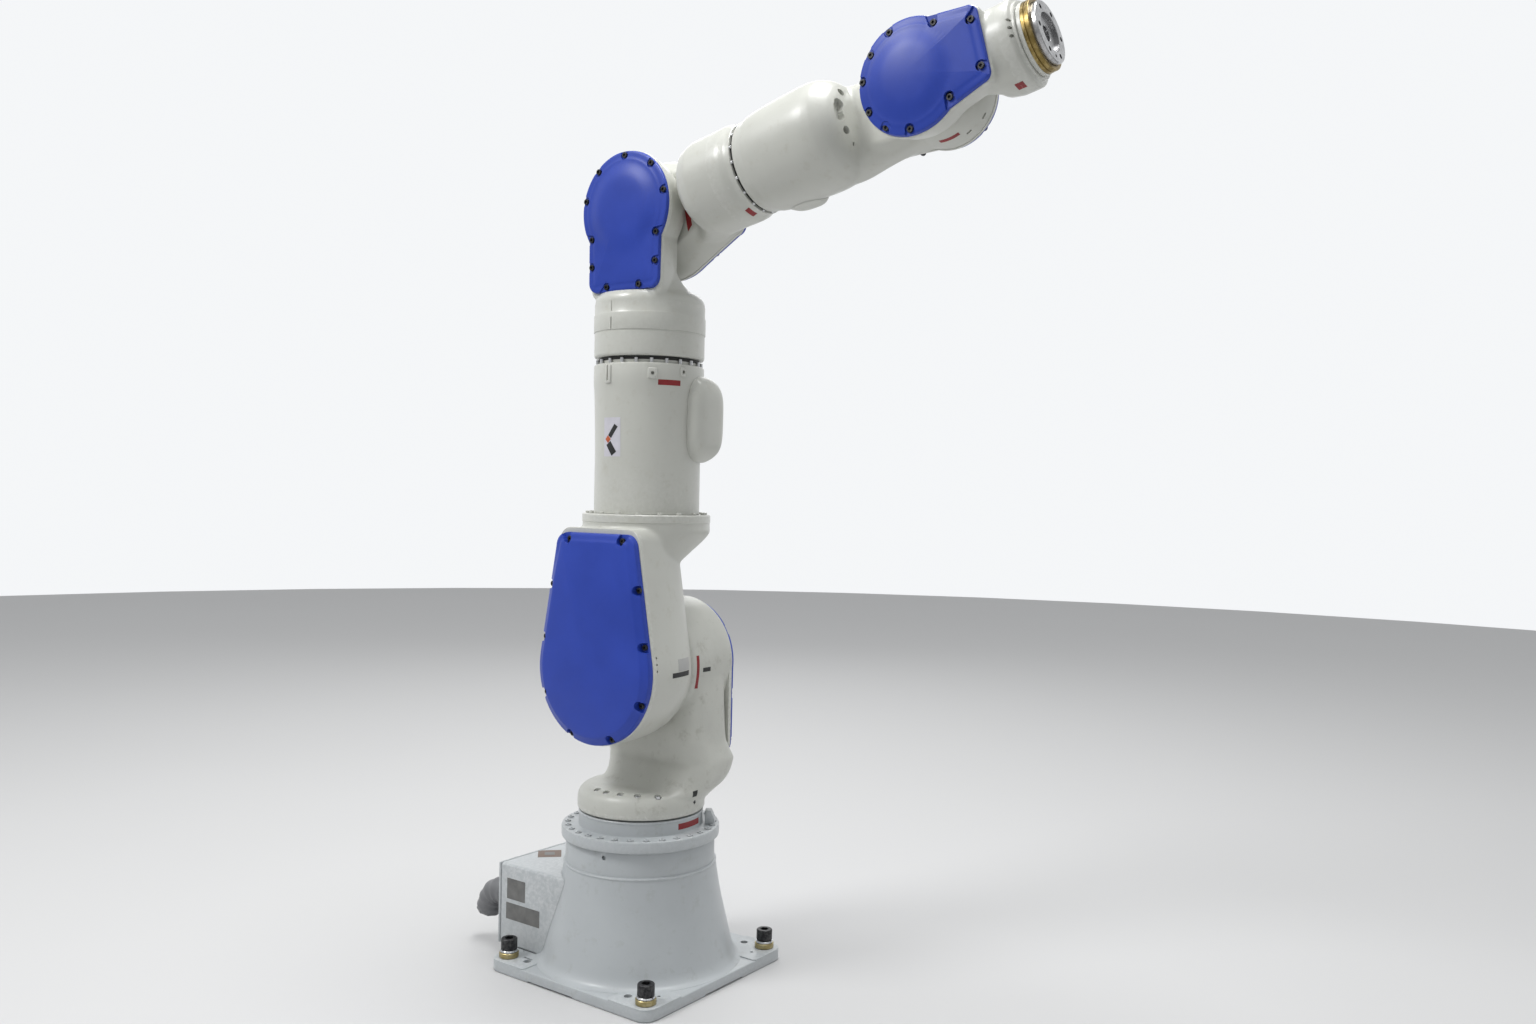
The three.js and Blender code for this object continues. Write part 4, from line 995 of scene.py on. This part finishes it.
# ---- labels and marks
# For each piece that bears labels, its body, its frame and its labels: name, centre, normal, upward way,
# width, height, finish, whether it is a diamond, and how far it stands off the piece.
LABELS = (
    ("connector_box", "base", UPRIGHT, (
        ("data_label", (-200, -132, 131.5), (0, -1, 0), UP, 50, 40, GREY_LABEL),
        ("wide_label", (-181, -132, 88), (0, -1, 0), UP, 92, 32, GREY_LABEL),
        ("diamond_label", (-212, -33, 178), UP, (0, 1, 0), 46, 46, BROWN_LABEL, True),
        ("diamond_label_centre", (-212, -33, 178), UP, (0, 1, 0), 20, 20, GREY_LABEL, True, 0.6),
    )),
    ("swivel_bearing_ring", "base", UPRIGHT, (
        ("bearing_label", (117, 6, 287.5), (1, 0.05, 0), UP, 62, 11, RED_LABEL),
    )),
    ("swivel_casting", "swivel", UPRIGHT, (
        ("swivel_mark", (121, 8, 343), (1, 0.05, 0.4), UP, 10, 10, BLACK_MARK),
        ("swivel_pointer", (120, 14, 327), (1, 0.05, 0), (0.3, 0.3, 1), 6, 6, BLACK_MARK, True),
        ("shoulder_stripe", (118, 17, 570), (1, -0.2, 0), UP, 7, 62, RED_LABEL),
        ("shoulder_far_mark", (122, 41, 573), (1, 0, 0), UP, 22, 8, BLACK_MARK),
    )),
    ("shoulder_casting", "upper_arm", UPRIGHT, (
        ("shoulder_mark", (132, -50, 575), (1, 0.1, 0), UP, 56, 9, BLACK_MARK),
        ("shoulder_patch", (133, -40, 592), (1, 0.1, 0), UP, 40, 22, GREY_PATCH),
    )),
    ("upper_arm_tube", "upper_arm", UPRIGHT, (
        ("arm_label", (92, -47, 1106), (1, -0.5, 0), UP, 44, 10, RED_LABEL),
        ("pictogram_label", (0, -100, 1005), (0, -1, 0), UP, 40, 72, PALE_LABEL),
        ("pictogram_arm", (3, -100, 1016), (0, -1, 0), (0.75, 0, 1), 9, 26, BLACK_MARK, False, 0.6),
        ("pictogram_foot", (-1, -100, 984), (0, -1, 0), (-0.7, 0, 1), 13, 24, BLACK_MARK, False, 0.6),
        ("pictogram_dot", (-9, -100, 1001), (0, -1, 0), UP, 10, 10, ORANGE_MARK, True, 0.7),
    )),
    ("forearm_base_casting", "forearm_base", FOREARM_FRAME, (
        ("elbow_label", (28, 2, 84), (1, -0.6, -0.5), (1, 0, 0), 9, 30, RED_LABEL),
        ("forearm_base_label", (80, -22, 241), (1, -0.28, 0), UP, 24, 9, RED_LABEL),
    )),
    ("forearm_tube", "forearm", FOREARM_FRAME, (
        ("lobe_label", (76, 26, 616), (1, 0, 0), (0, 1, 0), 36, 7, RED_LABEL),
    )),
    ("wrist_casting", "wrist", WRIST_FRAME, (
        ("wrist_label", (68, -19, 150), (1, -0.28, 0), UP, 16, 14, RED_LABEL),
    )),
)


def add_labels():
    """Plain labels and alignment marks, with nothing written on them."""
    for node, body, matrix, labels in LABELS:
        target = bpy.data.objects[node + "_detailed"]
        for values in labels:
            sticker(target, body, matrix, *values)


INNER_FINISHES = (("servo_motor", MOTOR), ("reducer", REDUCER), ("output_flange", MACHINED))


def finish_inner_parts():
    """The drive units inside the castings keep their CAD shapes and get their own finishes."""
    for name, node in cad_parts.items():
        for ending, material in INNER_FINISHES:
            if name.endswith(ending):
                node.data.materials.clear()
                node.data.materials.append(material)


add_camera()
add_stage()
add_base()
add_swivel()
add_shoulder()
add_upper_arm()
add_elbow()
add_forearm_base()
add_forearm()
add_wrist()
add_covers()
add_labels()
finish_inner_parts()
